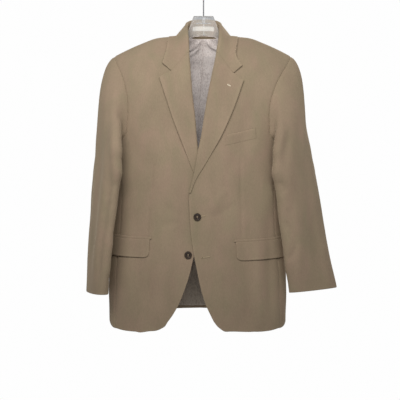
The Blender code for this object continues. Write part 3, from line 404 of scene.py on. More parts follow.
def through(rows, at):
    """Smooth curve through a table whose first column is the parameter.

    Cubic Hermite pieces, with central-difference slopes.
    """
    rows = np.asarray(rows, float)
    knots = rows[:, 0]
    values = rows[:, 1:]
    slopes = np.gradient(values, knots, axis=0)
    at = np.clip(np.asarray(at, float), knots[0], knots[-1])
    k = np.clip(np.searchsorted(knots, at, side="right") - 1, 0, len(knots) - 2)
    span = (knots[k + 1] - knots[k])[..., None]
    s = (at - knots[k])[..., None] / span
    return hermite(s, values[k], span * slopes[k], values[k + 1], span * slopes[k + 1])


def path(points, at):
    """Points at parts of the way, 0 to 1, along a smooth curve through the given points."""
    points = np.asarray(points, float)
    steps = np.linalg.norm(np.diff(points, axis=0), axis=1)
    way = np.concatenate(([0.0], np.cumsum(steps))) / steps.sum()
    return through(np.column_stack((way, points)), at)


def ease(low, high, at):
    """0 up to low and 1 from high on, with an S-curve between."""
    t = np.clip((np.asarray(at, float) - low) / (high - low), 0.0, 1.0)
    return t * t * (3.0 - 2.0 * t)


def unit(vectors):
    """The vectors at length 1."""
    return vectors / np.linalg.norm(vectors, axis=-1, keepdims=True)


def power(base, exponent):
    """base ** exponent, with base held above 0."""
    return np.maximum(base, 1e-12) ** exponent


def ridge(x):
    """Height of the shoulder ridge at breadth x."""
    return through(RIDGE_ROWS, np.abs(x))[..., 0]


def lean(z):
    """x of the coat's centre line at height z."""
    return through(BODY_ROWS, z)[..., 3]


def hem(q):
    """Height of the hem, q of the way round."""
    return through(HEM_ROWS, np.abs(q))[..., 0]


def level(x, z, back=False):
    """Level of the chart at breadth x and height z: pi/2 on the ridge, pi less on the back."""
    rise = (z - ridge(x)) / CLOSE + 1.0
    front = np.where(rise > 0, np.arcsin(np.clip(rise, 0.0, 1.0)), rise)
    return math.pi - front if back else front


def smooth_over(x, at_level):
    """Point of the coat's outer surface at breadth x and a level, from front over to back."""
    is_front = at_level <= math.pi / 2
    t = np.where(is_front, at_level, math.pi - at_level)
    z = ridge(x) - CLOSE + CLOSE * np.where(t > 0, np.sin(np.maximum(t, 0.0)), t)
    width, front, back, shift = np.moveaxis(through(BODY_ROWS, z), -1, 0)
    flat = power(1.0 - np.abs(x / width) ** ROUND, 1.0 / ROUND)
    closed = np.where(t > 0, np.cos(np.maximum(t, 0.0)), 1.0)
    y = np.where(is_front, -front, back) * flat * closed
    return np.stack((x + shift, y, z), axis=-1)


def smooth_around(q, z):
    """Point of the coat's outer surface, q from 0 at centre front, by 0.5 at the side, to 1."""
    width, front, back, shift = np.moveaxis(through(BODY_ROWS, z), -1, 0)
    turn = np.pi * np.abs(q)
    x = width * np.sign(q) * power(np.sin(turn), 2.0 / ROUND)
    forward = np.cos(turn)
    y = np.where(forward > 0, -front, back) * power(np.abs(forward), 2.0 / ROUND)
    return np.stack((x + shift, y, z + 0.0 * q), axis=-1)


def normal(chart, a, b):
    """Outward unit normals of a chart, by central differences."""
    step = 1e-4
    along_a = chart(a + step, b) - chart(a - step, b)
    along_b = chart(a, b + step) - chart(a, b - step)
    return unit(np.cross(along_a, along_b))


# Soft folds of the body, seen square to a face: start across, start z, end across, end z, bow,
# half width, height. Across is x on the front and the back, and y on the sides.
FRONT_FOLDS = (
    (0.030, -0.640, 0.040, -0.950, 0.004, 0.016, -0.0032),
    (0.066, -0.620, 0.082, -0.960, 0.004, 0.024, 0.0046),
    (0.112, -0.745, 0.122, -0.960, -0.003, 0.016, -0.0036),
    (0.142, -0.700, 0.150, -0.970, 0.003, 0.016, 0.0040),
    (0.172, -0.600, 0.178, -0.950, 0.000, 0.012, -0.0028),
    (-0.064, -0.640, -0.078, -0.950, -0.004, 0.016, -0.0030),
    (-0.100, -0.640, -0.118, -0.960, 0.003, 0.022, 0.0044),
    (-0.150, -0.740, -0.158, -0.960, -0.003, 0.016, -0.0036),
    (-0.190, -0.640, -0.196, -0.960, 0.002, 0.018, 0.0036),
    (0.060, -0.560, 0.125, -0.330, 0.010, 0.020, -0.0022),
    (-0.080, -0.540, -0.140, -0.330, -0.010, 0.020, -0.0022),
    (0.112, -0.520, 0.165, -0.330, 0.008, 0.026, 0.0026),
    (-0.120, -0.520, -0.170, -0.330, -0.008, 0.026, 0.0026),
    (0.200, -0.400, 0.176, -0.600, 0.004, 0.018, -0.0030),
    (-0.204, -0.400, -0.180, -0.600, -0.004, 0.018, -0.0022),
    (0.012, -0.655, 0.085, -0.610, 0.006, 0.009, -0.0014),
    (0.008, -0.640, 0.060, -0.570, 0.005, 0.010, 0.0014),
    (-0.045, -0.650, -0.110, -0.612, -0.006, 0.009, -0.0014),
    (-0.050, -0.664, -0.120, -0.680, 0.004, 0.010, -0.0012),
    (0.105, -0.300, 0.185, -0.245, 0.004, 0.018, -0.0016),
    (-0.110, -0.300, -0.185, -0.245, -0.004, 0.018, -0.0016),
)
BACK_FOLDS = (
    (0.060, -0.640, 0.072, -0.950, 0.004, 0.020, 0.0040),
    (-0.060, -0.640, -0.070, -0.950, -0.004, 0.020, 0.0040),
    (0.030, -0.740, 0.026, -0.930, 0.002, 0.014, -0.0022),
    (-0.034, -0.740, -0.030, -0.930, 0.002, 0.014, -0.0022),
    (0.108, -0.500, 0.120, -0.940, -0.004, 0.020, -0.0040),
    (-0.106, -0.520, -0.120, -0.940, 0.004, 0.020, -0.0040),
    (0.150, -0.400, 0.165, -0.950, 0.004, 0.024, 0.0040),
    (-0.150, -0.400, -0.165, -0.950, -0.004, 0.024, 0.0040),
    (0.190, -0.360, 0.150, -0.560, 0.010, 0.015, -0.0036),
    (-0.190, -0.360, -0.150, -0.560, -0.010, 0.015, -0.0036),
    (0.020, -0.585, 0.150, -0.545, 0.008, 0.011, -0.0020),
    (-0.020, -0.600, -0.150, -0.560, -0.008, 0.011, -0.0020),
    (0.030, -0.625, 0.140, -0.610, 0.006, 0.012, 0.0018),
    (-0.030, -0.640, -0.140, -0.620, -0.006, 0.012, 0.0018),
    (-0.075, -0.222, 0.070, -0.218, -0.006, 0.011, -0.0018),
    (-0.100, -0.245, 0.100, -0.240, -0.008, 0.014, 0.0016),
    (0.060, -0.280, 0.095, -0.480, 0.008, 0.026, 0.0024),
    (-0.060, -0.280, -0.095, -0.480, -0.008, 0.026, 0.0024),
)
SIDE_FOLDS = (
    (-0.034, -0.500, -0.036, -0.940, 0.003, 0.011, -0.0026),
    (0.000, -0.470, 0.002, -0.960, 0.002, 0.016, 0.0030),
    (0.036, -0.520, 0.038, -0.940, -0.002, 0.012, -0.0028),
)
# The front darts are narrow troughs of the same kind
DARTS = (
    (-0.1255, -0.465, -0.1400, -0.605, 0.001, 0.0034, -0.0020),
    (-0.1395, -0.590, -0.1500, -0.715, 0.000, 0.0034, -0.0020),
    (0.0970, -0.480, 0.0980, -0.630, 0.000, 0.0034, -0.0020),
    (0.0980, -0.610, 0.1010, -0.715, 0.000, 0.0034, -0.0020),
)
FOLD_FADE = 0.25  # part of a fold's length over which it starts, and ends
FACE_START = (0.015, 0.050)  # distances before or behind the middle between which a face's folds start
SIDE_START = (0.80, 0.97)  # and parts of the half width for the side's
RIDGE_START = (0.004, 0.060)  # and distances below the shoulder ridge for all of them
WAVES = 0.0006  # height of the cloth's slight unevenness everywhere


def bells(a, z, rows):
    """Height of soft folds at places (a, z).

    Each row adds height * exp(-(across / half width) ** 2), where across is the distance from its
    bowed line, and fades out with an S-curve over a quarter of its length at both ends.
    """
    total = np.zeros(np.broadcast(a, z).shape)
    for start_a, start_z, end_a, end_z, bow, half, height in rows:
        run_a = end_a - start_a
        run_z = end_z - start_z
        length = math.hypot(run_a, run_z)
        part = np.clip(((a - start_a) * run_a + (z - start_z) * run_z) / length**2, 0.0, 1.0)
        across = ((a - start_a) * run_z - (z - start_z) * run_a) / length - 4 * bow * part * (1 - part)
        fade = ease(0.0, FOLD_FADE, part) * ease(0.0, FOLD_FADE, 1.0 - part)
        total = total + height * fade * np.exp(-((across / half) ** 2))
    return total


def relief(points):
    """Height of the body's folds at its points: each face's own, faded where the face turns away."""
    x, y, z = np.moveaxis(points, -1, 0)
    breadth = x - lean(z)
    width = through(BODY_ROWS, z)[..., 0]
    front = ease(*FACE_START, -y)
    back = ease(*FACE_START, y)
    side = ease(*SIDE_START, np.abs(breadth) / width)
    # Two slanted waves, 96 and 59 mm long, whose product shows no pattern
    waves = WAVES * np.sin(61.0 * x + 23.0 * z + 1.3) * np.sin(47.0 * z - 31.0 * x + 90.0 * y)
    folds = front * (bells(x, z, FRONT_FOLDS) + bells(x, z, DARTS)) + back * bells(x, z, BACK_FOLDS)
    folds = folds + side * bells(y, z, SIDE_FOLDS) + waves
    return folds * ease(*RIDGE_START, ridge(breadth) - z)


def creased(chart):
    """A chart with the body's folds added along its normals."""

    def folded(a, b):
        points = chart(a, b)
        return points + normal(chart, a, b) * relief(points)[..., None]

    return folded


over = creased(smooth_over)
around = creased(smooth_around)


def lapped(chart):
    """The chart of the wearer's left front, which stands off near the centre to lap over the right."""

    def laid(a, b):
        point = chart(a, b)
        across = point[..., 0] - lean(point[..., 2])
        lift = through(LIFT_ROWS, point[..., 2])[..., 0] * ease(LIFT_END, LIFT_FULL, across)
        return point + normal(chart, a, b) * lift[..., None]

    return laid


def front_chart(side):
    """Chart of one front: a function of breadth and level."""
    return lapped(over) if side == "left" else over


def on_front(side, x, z, rise):
    """Point above a front, at x and z as seen from the front."""
    chart = front_chart(side)
    breadth = x - lean(z)
    at = level(breadth, z)
    return chart(breadth, at) + normal(chart, breadth, at) * np.asarray(rise, float)[..., None]


def way_round(x, z):
    """q of a point at x on the front."""
    breadth = x - lean(z)
    width = through(BODY_ROWS, z)[..., 0]
    return np.sign(breadth) * np.arcsin(np.abs(breadth / width) ** (ROUND / 2)) / np.pi


def coons(bottom, top, left, right):
    """Grid filled in between four edges: rows run from bottom to top, columns from left to right."""
    r = np.linspace(0.0, 1.0, len(left))[:, None, None]
    c = np.linspace(0.0, 1.0, len(bottom))[None, :, None]
    ruled = (1 - r) * bottom[None] + r * top[None] + (1 - c) * left[:, None] + c * right[:, None]
    corners = (1 - r) * ((1 - c) * bottom[0] + c * bottom[-1]) + r * ((1 - c) * top[0] + c * top[-1])
    return ruled - corners


def grid_normals(grid):
    """Unit normals of a grid of points, by central differences."""
    return unit(np.cross(np.gradient(grid, axis=1), np.gradient(grid, axis=0)))


def upper_steps(count):
    """Parts of the way from the armhole's corner to the shoulder, closer together at the top."""
    return 1.0 - (1.0 - np.linspace(0.0, 1.0, count + 1)) ** UPPER_POWER


def armhole(sign, back):
    """Breadths and levels up one side of the armhole, from its corner to the shoulder."""
    seam = SEAM_BACK if back else SEAM_FRONT
    corner = around(seam, ARM_CORNER)
    table = ARMHOLE_BACK if back else ARMHOLE_FRONT
    points = path(((corner[0] - lean(ARM_CORNER), ARM_CORNER), *table), np.linspace(0.0, 1.0, SEARCH))
    levels = level(points[:, 0], points[:, 1])
    levels[-1] = TOP
    wanted = levels[0] + (TOP - levels[0]) * upper_steps(ARM_INTERVALS)
    breadths = np.interp(wanted, levels, points[:, 0])
    return np.column_stack((sign * breadths, np.pi - wanted if back else wanted))


def side_seam(sign, q):
    """Breadths and heights up a side seam, from the hem to the armhole's corner."""
    z = np.linspace(hem(q), ARM_CORNER, SIDE_ROWS)
    points = around(sign * q + 0.0 * z, z)
    return np.column_stack((points[:, 0] - lean(z), z))


def shoulder(sign, back):
    """Breadths and levels of the shoulder seam, from the neck point outwards."""
    breadths = np.linspace(NECK_POINT, SHOULDER_POINT, SHOULDER_SAMPLES)
    return np.column_stack((sign * breadths, np.full(SHOULDER_SAMPLES, math.pi - TOP if back else TOP)))


def charted(points, back=False):
    """Breadth and height turned into breadth and level."""
    return np.column_stack((points[:, 0], level(points[:, 0], points[:, 1], back)))


def from_front(points):
    """x and z as seen from the front turned into breadth and level."""
    points = np.asarray(points, float)
    return charted(np.column_stack((points[:, 0] - lean(points[:, 1]), points[:, 1])))


def neck_back(sign):
    """Breadths and levels of the neck seam on a back, outwards to the neck point."""
    points = charted(np.multiply(NECKLINE_BACK, (sign, 1)), True)
    points[-1, 1] = math.pi - TOP
    return path(points, np.linspace(0.0, 1.0, NECK_INTERVALS + 1))


def neck_front(side):
    """Breadths and levels of the neck seam on a front, from the gorge up to the neck point."""
    sign = 1 if side == "left" else -1
    points = np.vstack((from_front(CREASE[side][-1:]), charted(np.multiply(NECKLINE_FRONT, (sign, 1)))))
    points[-1, 1] = TOP
    return path(points, np.linspace(0.0, 1.0, NECK_INTERVALS + 1))


def flush(grid):
    """A chart grid with a third value, 0, for its rise over the chart."""
    return np.concatenate((grid, np.zeros(grid.shape[:2] + (1,))), axis=-1)


def front_panel(side):
    """Front: cut-away edge, crease and neck seam inside, shoulder seam on top, armhole outside."""
    sign = 1 if side == "left" else -1
    outer = np.vstack((charted(side_seam(sign, SEAM_FRONT)), armhole(sign, False)[1:]))
    low = np.linspace(0.0, BREAK_PART, SIDE_ROWS)
    high = BREAK_PART + (1.0 - BREAK_PART) * upper_steps(ARM_INTERVALS - NECK_INTERVALS)[1:]
    edge = from_front(path(FRONT_EDGE[side] + CREASE[side][1:], np.concatenate((low, high))))
    inner = np.vstack((edge, neck_front(side)[1:]))
    top = shoulder(sign, False)
    corner = from_front(HEM_CORNER[side])
    breadths = np.linspace(corner[-1, 0], outer[0, 0], 5)[1:]
    heights = hem(way_round(breadths + lean(HEM_FRONT), HEM_FRONT))
    bottom = np.vstack((inner[:1], corner, charted(np.column_stack((breadths, heights)))))
    bottom[-1] = outer[0]
    bottom = path(bottom, np.linspace(0.0, 1.0, len(top)) ** HEM_POWER)
    return flush(coons(bottom, top, inner, outer))


def back_hem(breadths):
    """Height of the hem at breadths on the back."""
    width = through(BODY_ROWS, HEM_BACK)[0]
    ways = 1.0 - np.arcsin(np.abs(breadths / width) ** (ROUND / 2)) / np.pi
    return hem(ways)


def back_panel(side):
    """Back: centre seam with a vent, back neck and shoulder seam on top, armhole outside."""
    sign = 1 if side == "left" else -1
    outer = np.vstack((charted(side_seam(sign, SEAM_BACK), True), armhole(sign, True)[1:]))
    high = CENTRE_ROWS[-1] + (BACK_NECK - CENTRE_ROWS[-1]) * upper_steps(ARM_INTERVALS)[1:]
    heights = np.concatenate((CENTRE_ROWS, high))
    inner = charted(np.column_stack((np.full(len(heights), sign * BACK_FIRST), heights)), True)
    top = np.vstack((neck_back(sign), shoulder(sign, True)[1:]))
    breadths = np.linspace(inner[0, 0], outer[0, 0], len(top))
    bottom = charted(np.column_stack((breadths, back_hem(breadths))), True)
    bottom[0] = inner[0]
    bottom[-1] = outer[0]
    grid = coons(bottom, top, inner, outer)
    rise = np.zeros(grid.shape[:2])
    centre = centre_columns(side, heights)
    tucked = np.zeros(len(heights))
    if side == "right":
        tucked = -(CLOTH + 2 * SEAM) * ease(VENT_CLOSED, VENT_TOP, heights)
    grid = np.concatenate((centre, grid), axis=1)
    rise = np.concatenate((np.repeat(tucked[:, None], centre.shape[1], axis=1), rise), axis=1)
    return np.concatenate((grid, rise[..., None]), axis=-1)


def centre_columns(side, heights):
    """Three columns at centre back: up to the seam, and below the vent's top out to the underlap."""
    sign = 1 if side == "left" else -1
    closed = np.array(CENTRE_STRIP) * sign
    opened = np.array((VENT_FOLD, VENT_FOLD / 2, -VENT_PAST)) if side == "right" else closed
    share = ease(VENT_TOP, VENT_OPEN, heights)[:, None]
    breadths = closed * (1 - share) + opened * share
    levels = level(breadths, heights[:, None], True)
    return np.stack((breadths, levels), axis=-1)


def seam_rows(sign, q):
    """Ways round and heights up a side seam, from the hem to the armhole's corner."""
    heights = np.linspace(hem(q), ARM_CORNER, SIDE_ROWS)
    return np.column_stack((np.full(SIDE_ROWS, sign * q), heights))


def side_panel(side):
    """Side panel between the two side seams, up to the underarm."""
    sign = 1 if side == "left" else -1
    ways = np.linspace(SEAM_FRONT, SEAM_BACK, UNDERARM_INTERVALS + 1)
    low = np.column_stack((sign * ways, hem(ways)))
    high = np.column_stack((sign * ways, underarm(ways)))
    front = seam_rows(sign, SEAM_FRONT)
    back = seam_rows(sign, SEAM_BACK)
    return flush(coons(low, high, front, back))


def underarm(ways):
    """Height of the armhole's bottom between the side seams: a half sine dip."""
    part = (ways - SEAM_FRONT) / (SEAM_BACK - SEAM_FRONT)
    return ARM_CORNER + (ARM_BOTTOM - ARM_CORNER) * np.sin(np.pi * part)


def armhole_loop(sign):
    """Points round an armhole from the shoulder down the front, outward normals and ways out."""
    front = armhole(sign, False)[::-1]
    back = armhole(sign, True)
    ways = np.linspace(SEAM_FRONT, SEAM_BACK, UNDERARM_INTERVALS + 1)[1:-1]
    under_z = underarm(ways)
    points = np.vstack((over(*front.T), around(sign * ways, under_z), over(*back.T)[:-1]))
    under_out = normal(around, sign * ways, under_z)
    out = np.vstack((normal(over, *front.T), under_out, normal(over, *back.T)[:-1]))
    tangent = np.roll(points, -1, axis=0) - np.roll(points, 1, axis=0)
    away = unit(np.cross(out, tangent)) * sign
    return points, out, away


def section(side, z, angles):
    """Ring of a sleeve round its axis: a turned superellipse, square to the axis."""
    rows = SLEEVE_ROWS[side]
    x, y, length, thick, turn = through(rows, z)
    ahead = through(rows, z - AXIS_STEP)[:2] - through(rows, z + AXIS_STEP)[:2]
    axis = unit(np.array((ahead[0], ahead[1], -2 * AXIS_STEP)))
    turn = math.radians(turn)
    along = np.array((math.cos(turn), math.sin(turn), 0.0))
    along = unit(along - axis * np.dot(along, axis))
    outward = np.cross(axis, along)
    outward *= np.sign(outward[0]) * (1 if side == "left" else -1)
    angles = np.radians(angles)
    c = np.sign(np.cos(angles)) * np.abs(np.cos(angles)) ** (2 / SLEEVE_ROUND)
    s = np.sign(np.sin(angles)) * np.abs(np.sin(angles)) ** (2 / SLEEVE_ROUND)
    ring = outward * thick * c[:, None] - along * length * s[:, None]
    return np.array((x, y, z)) + ring, axis


def sleeve_grid(side):
    """Sleeve's outer points: a cap drawn out of the armhole, then rings down to the cuff."""
    sign = 1 if side == "left" else -1
    points, out, away = armhole_loop(sign)
    steps = np.linalg.norm(np.roll(points, -1, axis=0) - points, axis=1)
    way = np.concatenate(([0.0], np.cumsum(steps)[:-1])) / steps.sum()
    angles, along_share, out_share = through(CAP_ROWS, way).T
    start = points + away * SEAM
    upper, axis = section(side, SLEEVE_ROWS[side][-1][0], angles)
    reach = np.linalg.norm(upper - start, axis=1)[:, None]
    leave = unit(away * along_share[:, None] + out * out_share[:, None])
    leave = leave * (CAP_LEAVE[0] * reach + CAP_LEAVE[1])
    arrive = axis * CAP_ARRIVE * reach
    v = np.array(CAP_STEPS)[:, None, None]
    cap = hermite(v, start, leave, upper, arrive)
    heights = np.linspace(SLEEVE_ROWS[side][-1][0], SLEEVE_ROWS[side][0][0], SLEEVE_RINGS)[1:]
    rings = np.array([section(side, z, angles)[0] for z in heights])
    return np.concatenate((cap, rings)), out, angles


def lapel_grid(side):
    """Middle of a lapel: columns from the tuck behind the crease, round the fold and over the front."""
    sign = 1 if side == "left" else -1
    ways = np.linspace(LAPEL_START, 1.0, LAPEL_ROWS)
    crease = path(CREASE[side], ways)
    ahead = path(CREASE[side], np.minimum(ways + WAY_STEP, 1.0))
    tangent = unit(ahead - path(CREASE[side], ways - WAY_STEP))
    inward = np.column_stack((tangent[:, 1], -tangent[:, 0])) * sign
    start = crease[0] + np.array((LAPEL_STUB * sign, LAPEL_STUB / 2))
    edge = path((start, *LAPEL_EDGE[side]), np.linspace(0.0, 1.0, LAPEL_ROWS))
    gorge = np.linspace(crease[-1], NOTCH[side], GORGE_SAMPLES)
    top = np.vstack((gorge, np.linspace(NOTCH[side], edge[-1], TIP_SAMPLES + 1)[1:]))
    face = coons(np.linspace(crease[0], edge[0], len(top)), top, crease, edge)
    rise = LAPEL_RISE + LAPEL_ROLL * (1 - np.linspace(0.0, 1.0, len(top))) ** 2
    turn = np.radians(FOLD_TURNS)
    distance = np.concatenate((np.linspace(LAPEL_TUCK, 0.0, TUCK_SAMPLES), -FOLD_RADIUS * np.sin(turn)))
    fold = INSIDE + FOLD_RADIUS * (1 - np.cos(turn))
    height = np.concatenate((np.full(TUCK_SAMPLES, INSIDE), fold, rise))
    roll = crease[:, None] + inward[:, None] * distance[None, :, None]
    plan = np.concatenate((roll, face), axis=1)
    return on_front(side, plan[..., 0], plan[..., 1], np.broadcast_to(height, plan.shape[:2]))


def collar_half(side):
    """Middle of half the collar: rows from centre back to the gorge, columns as on the lapel."""
    sign = 1 if side == "left" else -1
    centre_back = charted(np.array(((0.0, BACK_NECK),)), True)
    seam = np.vstack((centre_back, neck_back(sign), neck_front(side)[-2::-1]))
    seam_points = over(*seam.T)
    seam_out = normal(over, *seam.T)
    away = unit(np.cross(np.gradient(seam_points, axis=0), seam_out)) * sign
    steps = np.linalg.norm(np.diff(seam_points, axis=0), axis=1)
    ways = np.concatenate(([0.0], np.cumsum(steps))) / steps.sum()
    tip = np.linspace(NOTCH[side], COLLAR_TIP[side], TIP_SAMPLES + 1)[1:]
    tip = on_front(side, tip[:, 0], tip[:, 1], np.full(TIP_SAMPLES, LAPEL_RISE))
    last = np.vstack((lapel_grid(side)[-1, :-TIP_SAMPLES], tip))
    apex = TUCK_SAMPLES + len(FOLD_TURNS) // 2
    crease = path((*np.multiply(COLLAR_CREASE, (sign, 1, 1)), last[apex]), ways)
    towards = unit(np.gradient(crease, axis=0))
    gorge_share = ease(COLLAR_TURNS, 1.0, ways)[:, None]
    level_out = unit(np.column_stack((crease[:, 0], crease[:, 1] - NECK_MIDDLE, 0.0 * ways)))
    outward = unit(level_out * (1 - gorge_share) + seam_out * gorge_share)
    outward = unit(outward - towards * np.sum(outward * towards, axis=1, keepdims=True))
    up = unit(np.cross(towards, outward)) * sign
    radius = COLLAR_FOLD * (1 - gorge_share) + FOLD_RADIUS * gorge_share
    centre = crease - up * radius
    inside = seam_points + seam_out * INSIDE
    root = inside + away * COLLAR_CLEAR
    fold_start = centre - outward * radius
    columns = [inside - away * COLLAR_TUCK, root, (root + fold_start) / 2, fold_start]
    for turn in np.radians(FOLD_TURNS):
        columns.append(centre - outward * radius * math.cos(turn) + up * radius * math.sin(turn))
    edge_back = charted(np.multiply(COLLAR_EDGE_BACK, (sign, 1)), True)
    edge_front = charted(np.multiply(COLLAR_EDGE_FRONT[side], (sign, 1)))
    edge_ridge = np.array(((sign * COLLAR_EDGE_RIDGE, math.pi / 2),))
    edge = path(np.vstack((edge_back, edge_ridge, edge_front, from_front([COLLAR_TIP[side]]))), ways)
    rise = LAPEL_RISE + COLLAR_EASE * (1 - gorge_share)
    edge = over(*edge.T) + normal(over, *edge.T) * rise
    edge[-1] = last[-1]
    fall_start = centre + outward * radius
    fall_start[-1] = last[TUCK_SAMPLES + len(FOLD_TURNS)]
    end = last[TUCK_SAMPLES + len(FOLD_TURNS) :]
    fall = coons(np.linspace(fall_start[0], edge[0], len(end)), end, fall_start, edge)
    bulge = np.sin(np.pi * np.linspace(0.0, 1.0, len(end)))[None, :, None] * COLLAR_BULGE
    fall = clear_of_body(fall + outward[:, None] * bulge * (1 - gorge_share[:, None]), rise)
    grid = np.concatenate((np.stack(columns, axis=1), fall), axis=1)
    grid[-1] = last
    return grid


def clear_of_body(points, rise):
    """Points pushed out along the body's normals until they are at least a rise above it."""

    def depth(at):
        across = at[..., 0] - lean(at[..., 2])
        width, front, back, _ = np.moveaxis(through(BODY_ROWS, at[..., 2]), -1, 0)
        flat = power(1.0 - np.abs(across / width) ** ROUND, 1.0 / ROUND)
        reach = np.where(at[..., 1] < 0, front, back) * flat
        height = np.maximum((at[..., 2] - ridge(across)) / CLOSE + 1.0, 0.0)
        return np.sqrt((at[..., 1] / reach) ** 2 + height**2)

    for _ in range(CLEAR_ROUNDS):
        value = depth(points)
        slopes = [(depth(points + CLEAR_STEP * axis) - value) / CLEAR_STEP for axis in np.eye(3)]
        slope = np.stack(slopes, axis=-1)
        size = np.linalg.norm(slope, axis=-1)
        distance = (value - 1.0) / size
        push = np.maximum(rise - distance, 0.0)
        points = points + slope / size[..., None] * push[..., None]
    return points


def lining_back(side):
    """Back lining, hung inside the back from below the neck seam to above the hem."""
    sign = 1 if side == "left" else -1
    rows = np.linspace(0.0, 1.0, LINING_ROWS)
    heights = np.interp(rows, *np.transpose(LINING_HEIGHTS))
    opened = LINING_VENT[side]
    inner_x = sign * (LINING_CLOSED + (opened - LINING_CLOSED) * ease(LINING_SLIT, VENT_TOP, heights))
    inner = charted(np.column_stack((inner_x, heights)), True)
    outer = charted(path(np.multiply(LINING_EDGE, (sign, 1)), rows), True)
    breadths = np.linspace(inner[-1, 0], outer[-1, 0], LINING_COLUMNS)
    top = charted(np.column_stack((breadths, through(LINING_TOP, np.abs(breadths))[:, 0])), True)
    breadths = np.linspace(inner[0, 0], outer[0, 0], LINING_COLUMNS)
    low = np.linspace(LINING_HEIGHTS[0][1], LINING_EDGE[0][1], LINING_COLUMNS)
    bottom = charted(np.column_stack((breadths, low)), True)
    return flush(coons(bottom, top, inner, outer))


def along_section(q, z, length, sign):
    """q after a length along the level section, from q away from the centre front."""
    ways = np.linspace(q, sign * SEAM_BACK, SEARCH)
    points = around(ways, np.full(SEARCH, z))
    way = np.concatenate(([0.0], np.cumsum(np.linalg.norm(np.diff(points, axis=0), axis=1))))
    return float(np.interp(length, way, ways))


# Sizes of the cells that the cloth is divided into: smaller where folds are sharp or pieces small
CELL = 0.0055
PANEL_CELL = 0.0045
LAPEL_CELL = 0.0040
LINING_CELL = 0.0035
FRONT_CELL = 0.0034
SMALL_CELL = 0.0030
EDGE = np.array((0.0, 0.0003, 0.0007, 0.0012, 0.0018))  # closer rows where an edge rolls over
EDGE_SHARE = 0.25  # most of a narrow piece's length that they take at either end
ROLL_FLOOR = 0.12  # part of the thickness left at the very edge
LAP = 0.0006  # how far a sewn edge reaches into its seam
SIDE_LAP = 0.0018  # and a side panel's, since its seams part more in their folds
SEAM_DIP = 0.0009  # how deep a sewn seam is drawn into the cloth
SEAM_BREADTH = 0.005  # and over what breadth
WORN = 0.007  # breadth of the brushed cloth along an edge
FAR = 9.0  # distance that stands for an edge that isn't asked for
# Seam allowances of the cuts
ALLOWANCE = 0.010
FLAP_ALLOWANCE = 0.008
WELT_ALLOWANCE = 0.004
STRIP_ALLOWANCE = 0.002
JET_ALLOWANCE = 0.0015
CROWN = 0.16  # height of a sleeve's crown, whose edge is longer than its cut is wide
# Where the suede's inner face goes over to lining: from the hem, a front's edge and the centre back
TURN_UP = 0.035
FACING = 0.070
BACK_FACING = 0.030
UP_TO_EDGE = -1.0
STAND_OFF = 0.0034  # how far the collar's and lapels' free edge stands off the coat
STAND_BREADTH = 0.026  # over this breadth of its own
STAND_FRONT = (0.010, 0.050)  # it grows over these distances in front of the shoulder seam
STAND_LOW = (-0.500, -0.440)  # and ends between these heights, above the break
SETTLE = 0.0012  # how much lower the collar lies over the shoulder seams
SETTLE_NEAR = (0.015, 0.045)  # it ends between these distances from them
LAPEL_THICK = 0.0024
WELT_THICK = 0.0013
WELT_SUNK = -0.0008  # the welt's sewn lower edge lies deeper
WELT_STANDS = 0.0007  # and its free upper edge stands off
MOUTH = 0.0004  # radius of the dark line along it, painted shade in the pocket's mouth
MOUTH_ENDS = (0.01, 0.99)  # parts of the welt's length between which it runs
FLAP_BULGE = 0.0018  # rise of the flap's middle at its lower edge
CAP_FADE = 0.18  # part of the cap over which a sleeve's folds start
BACK_SHIFT = 2  # columns that a sleeve's back seam lies behind the side seam
FURROW = (0.0009, 0.0018)  # depth and half breadth of the lining's centre seam
UNDERLAP = (-0.0015, -0.020, -0.008)  # more depth of the lining at the vent, where it starts and is full


def places(length, cell):
    """Distances along a length: about a cell apart, and closer at both ends."""
    edge = EDGE * min(1.0, EDGE_SHARE * length / EDGE[-1])
    middle = np.linspace(edge[-1], length - edge[-1], max(int(length / cell), 3))
    return np.concatenate((edge[:-1], middle, length - edge[-2::-1]))


def resampled(grid, points, cell):
    """The grid at finer places along both ways, and the distances of its rows and columns."""
    ways = []
    for axis in (0, 1):
        steps = np.linalg.norm(np.diff(points, axis=axis), axis=-1).mean(axis=1 - axis)
        ways.append(np.concatenate(([0.0], np.cumsum(steps))))
    rows = places(ways[0][-1], cell)
    columns = places(ways[1][-1], cell)
    fine = through(np.column_stack((ways[0], grid.reshape(len(grid), -1))), rows)
    fine = fine.reshape(len(rows), grid.shape[1], -1).transpose(1, 0, 2)
    fine = through(np.column_stack((ways[1], fine.reshape(grid.shape[1], -1))), columns)
    return fine.reshape(len(columns), len(rows), -1).transpose(1, 0, 2), rows, columns


def to_edge(rows, columns, edges=(1, 1, 1, 1)):
    """Distance of a grid's points from the nearest chosen edge.

    The edges are marked 1 or 0: the first and the last row, the first and the last column.
    """
    ways = (rows[:, None], rows[-1] - rows[:, None], columns[None], columns[-1] - columns[None])
    away = np.full((len(rows), len(columns)), FAR)
    for way, chosen in zip(ways, edges):
        away = np.minimum(away, way if chosen else FAR)
    return away


def make(name, node, points, faces, looks, smooth=True):
    """A mesh piece that rides on the coat's one body and replaces its node."""
    mesh = bpy.data.meshes.new(name)
    mesh.from_pydata(points.tolist(), [], faces.tolist() if isinstance(faces, np.ndarray) else faces)
    if smooth:
        mesh.shade_smooth()
    for look in looks:
        mesh.materials.append(look)
    piece = bpy.data.objects.new(name, mesh)
    bpy.context.scene.collection.objects.link(piece)
    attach(piece, "root")
    if node:
        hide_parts(node)
    return piece


def per_vertex(piece, name, values):
    """A number for each vertex, which a material reads by its name."""
    layer = piece.data.attributes.new(name, "FLOAT", "POINT")
    layer.data.foreach_set("value", values.astype(np.float32))


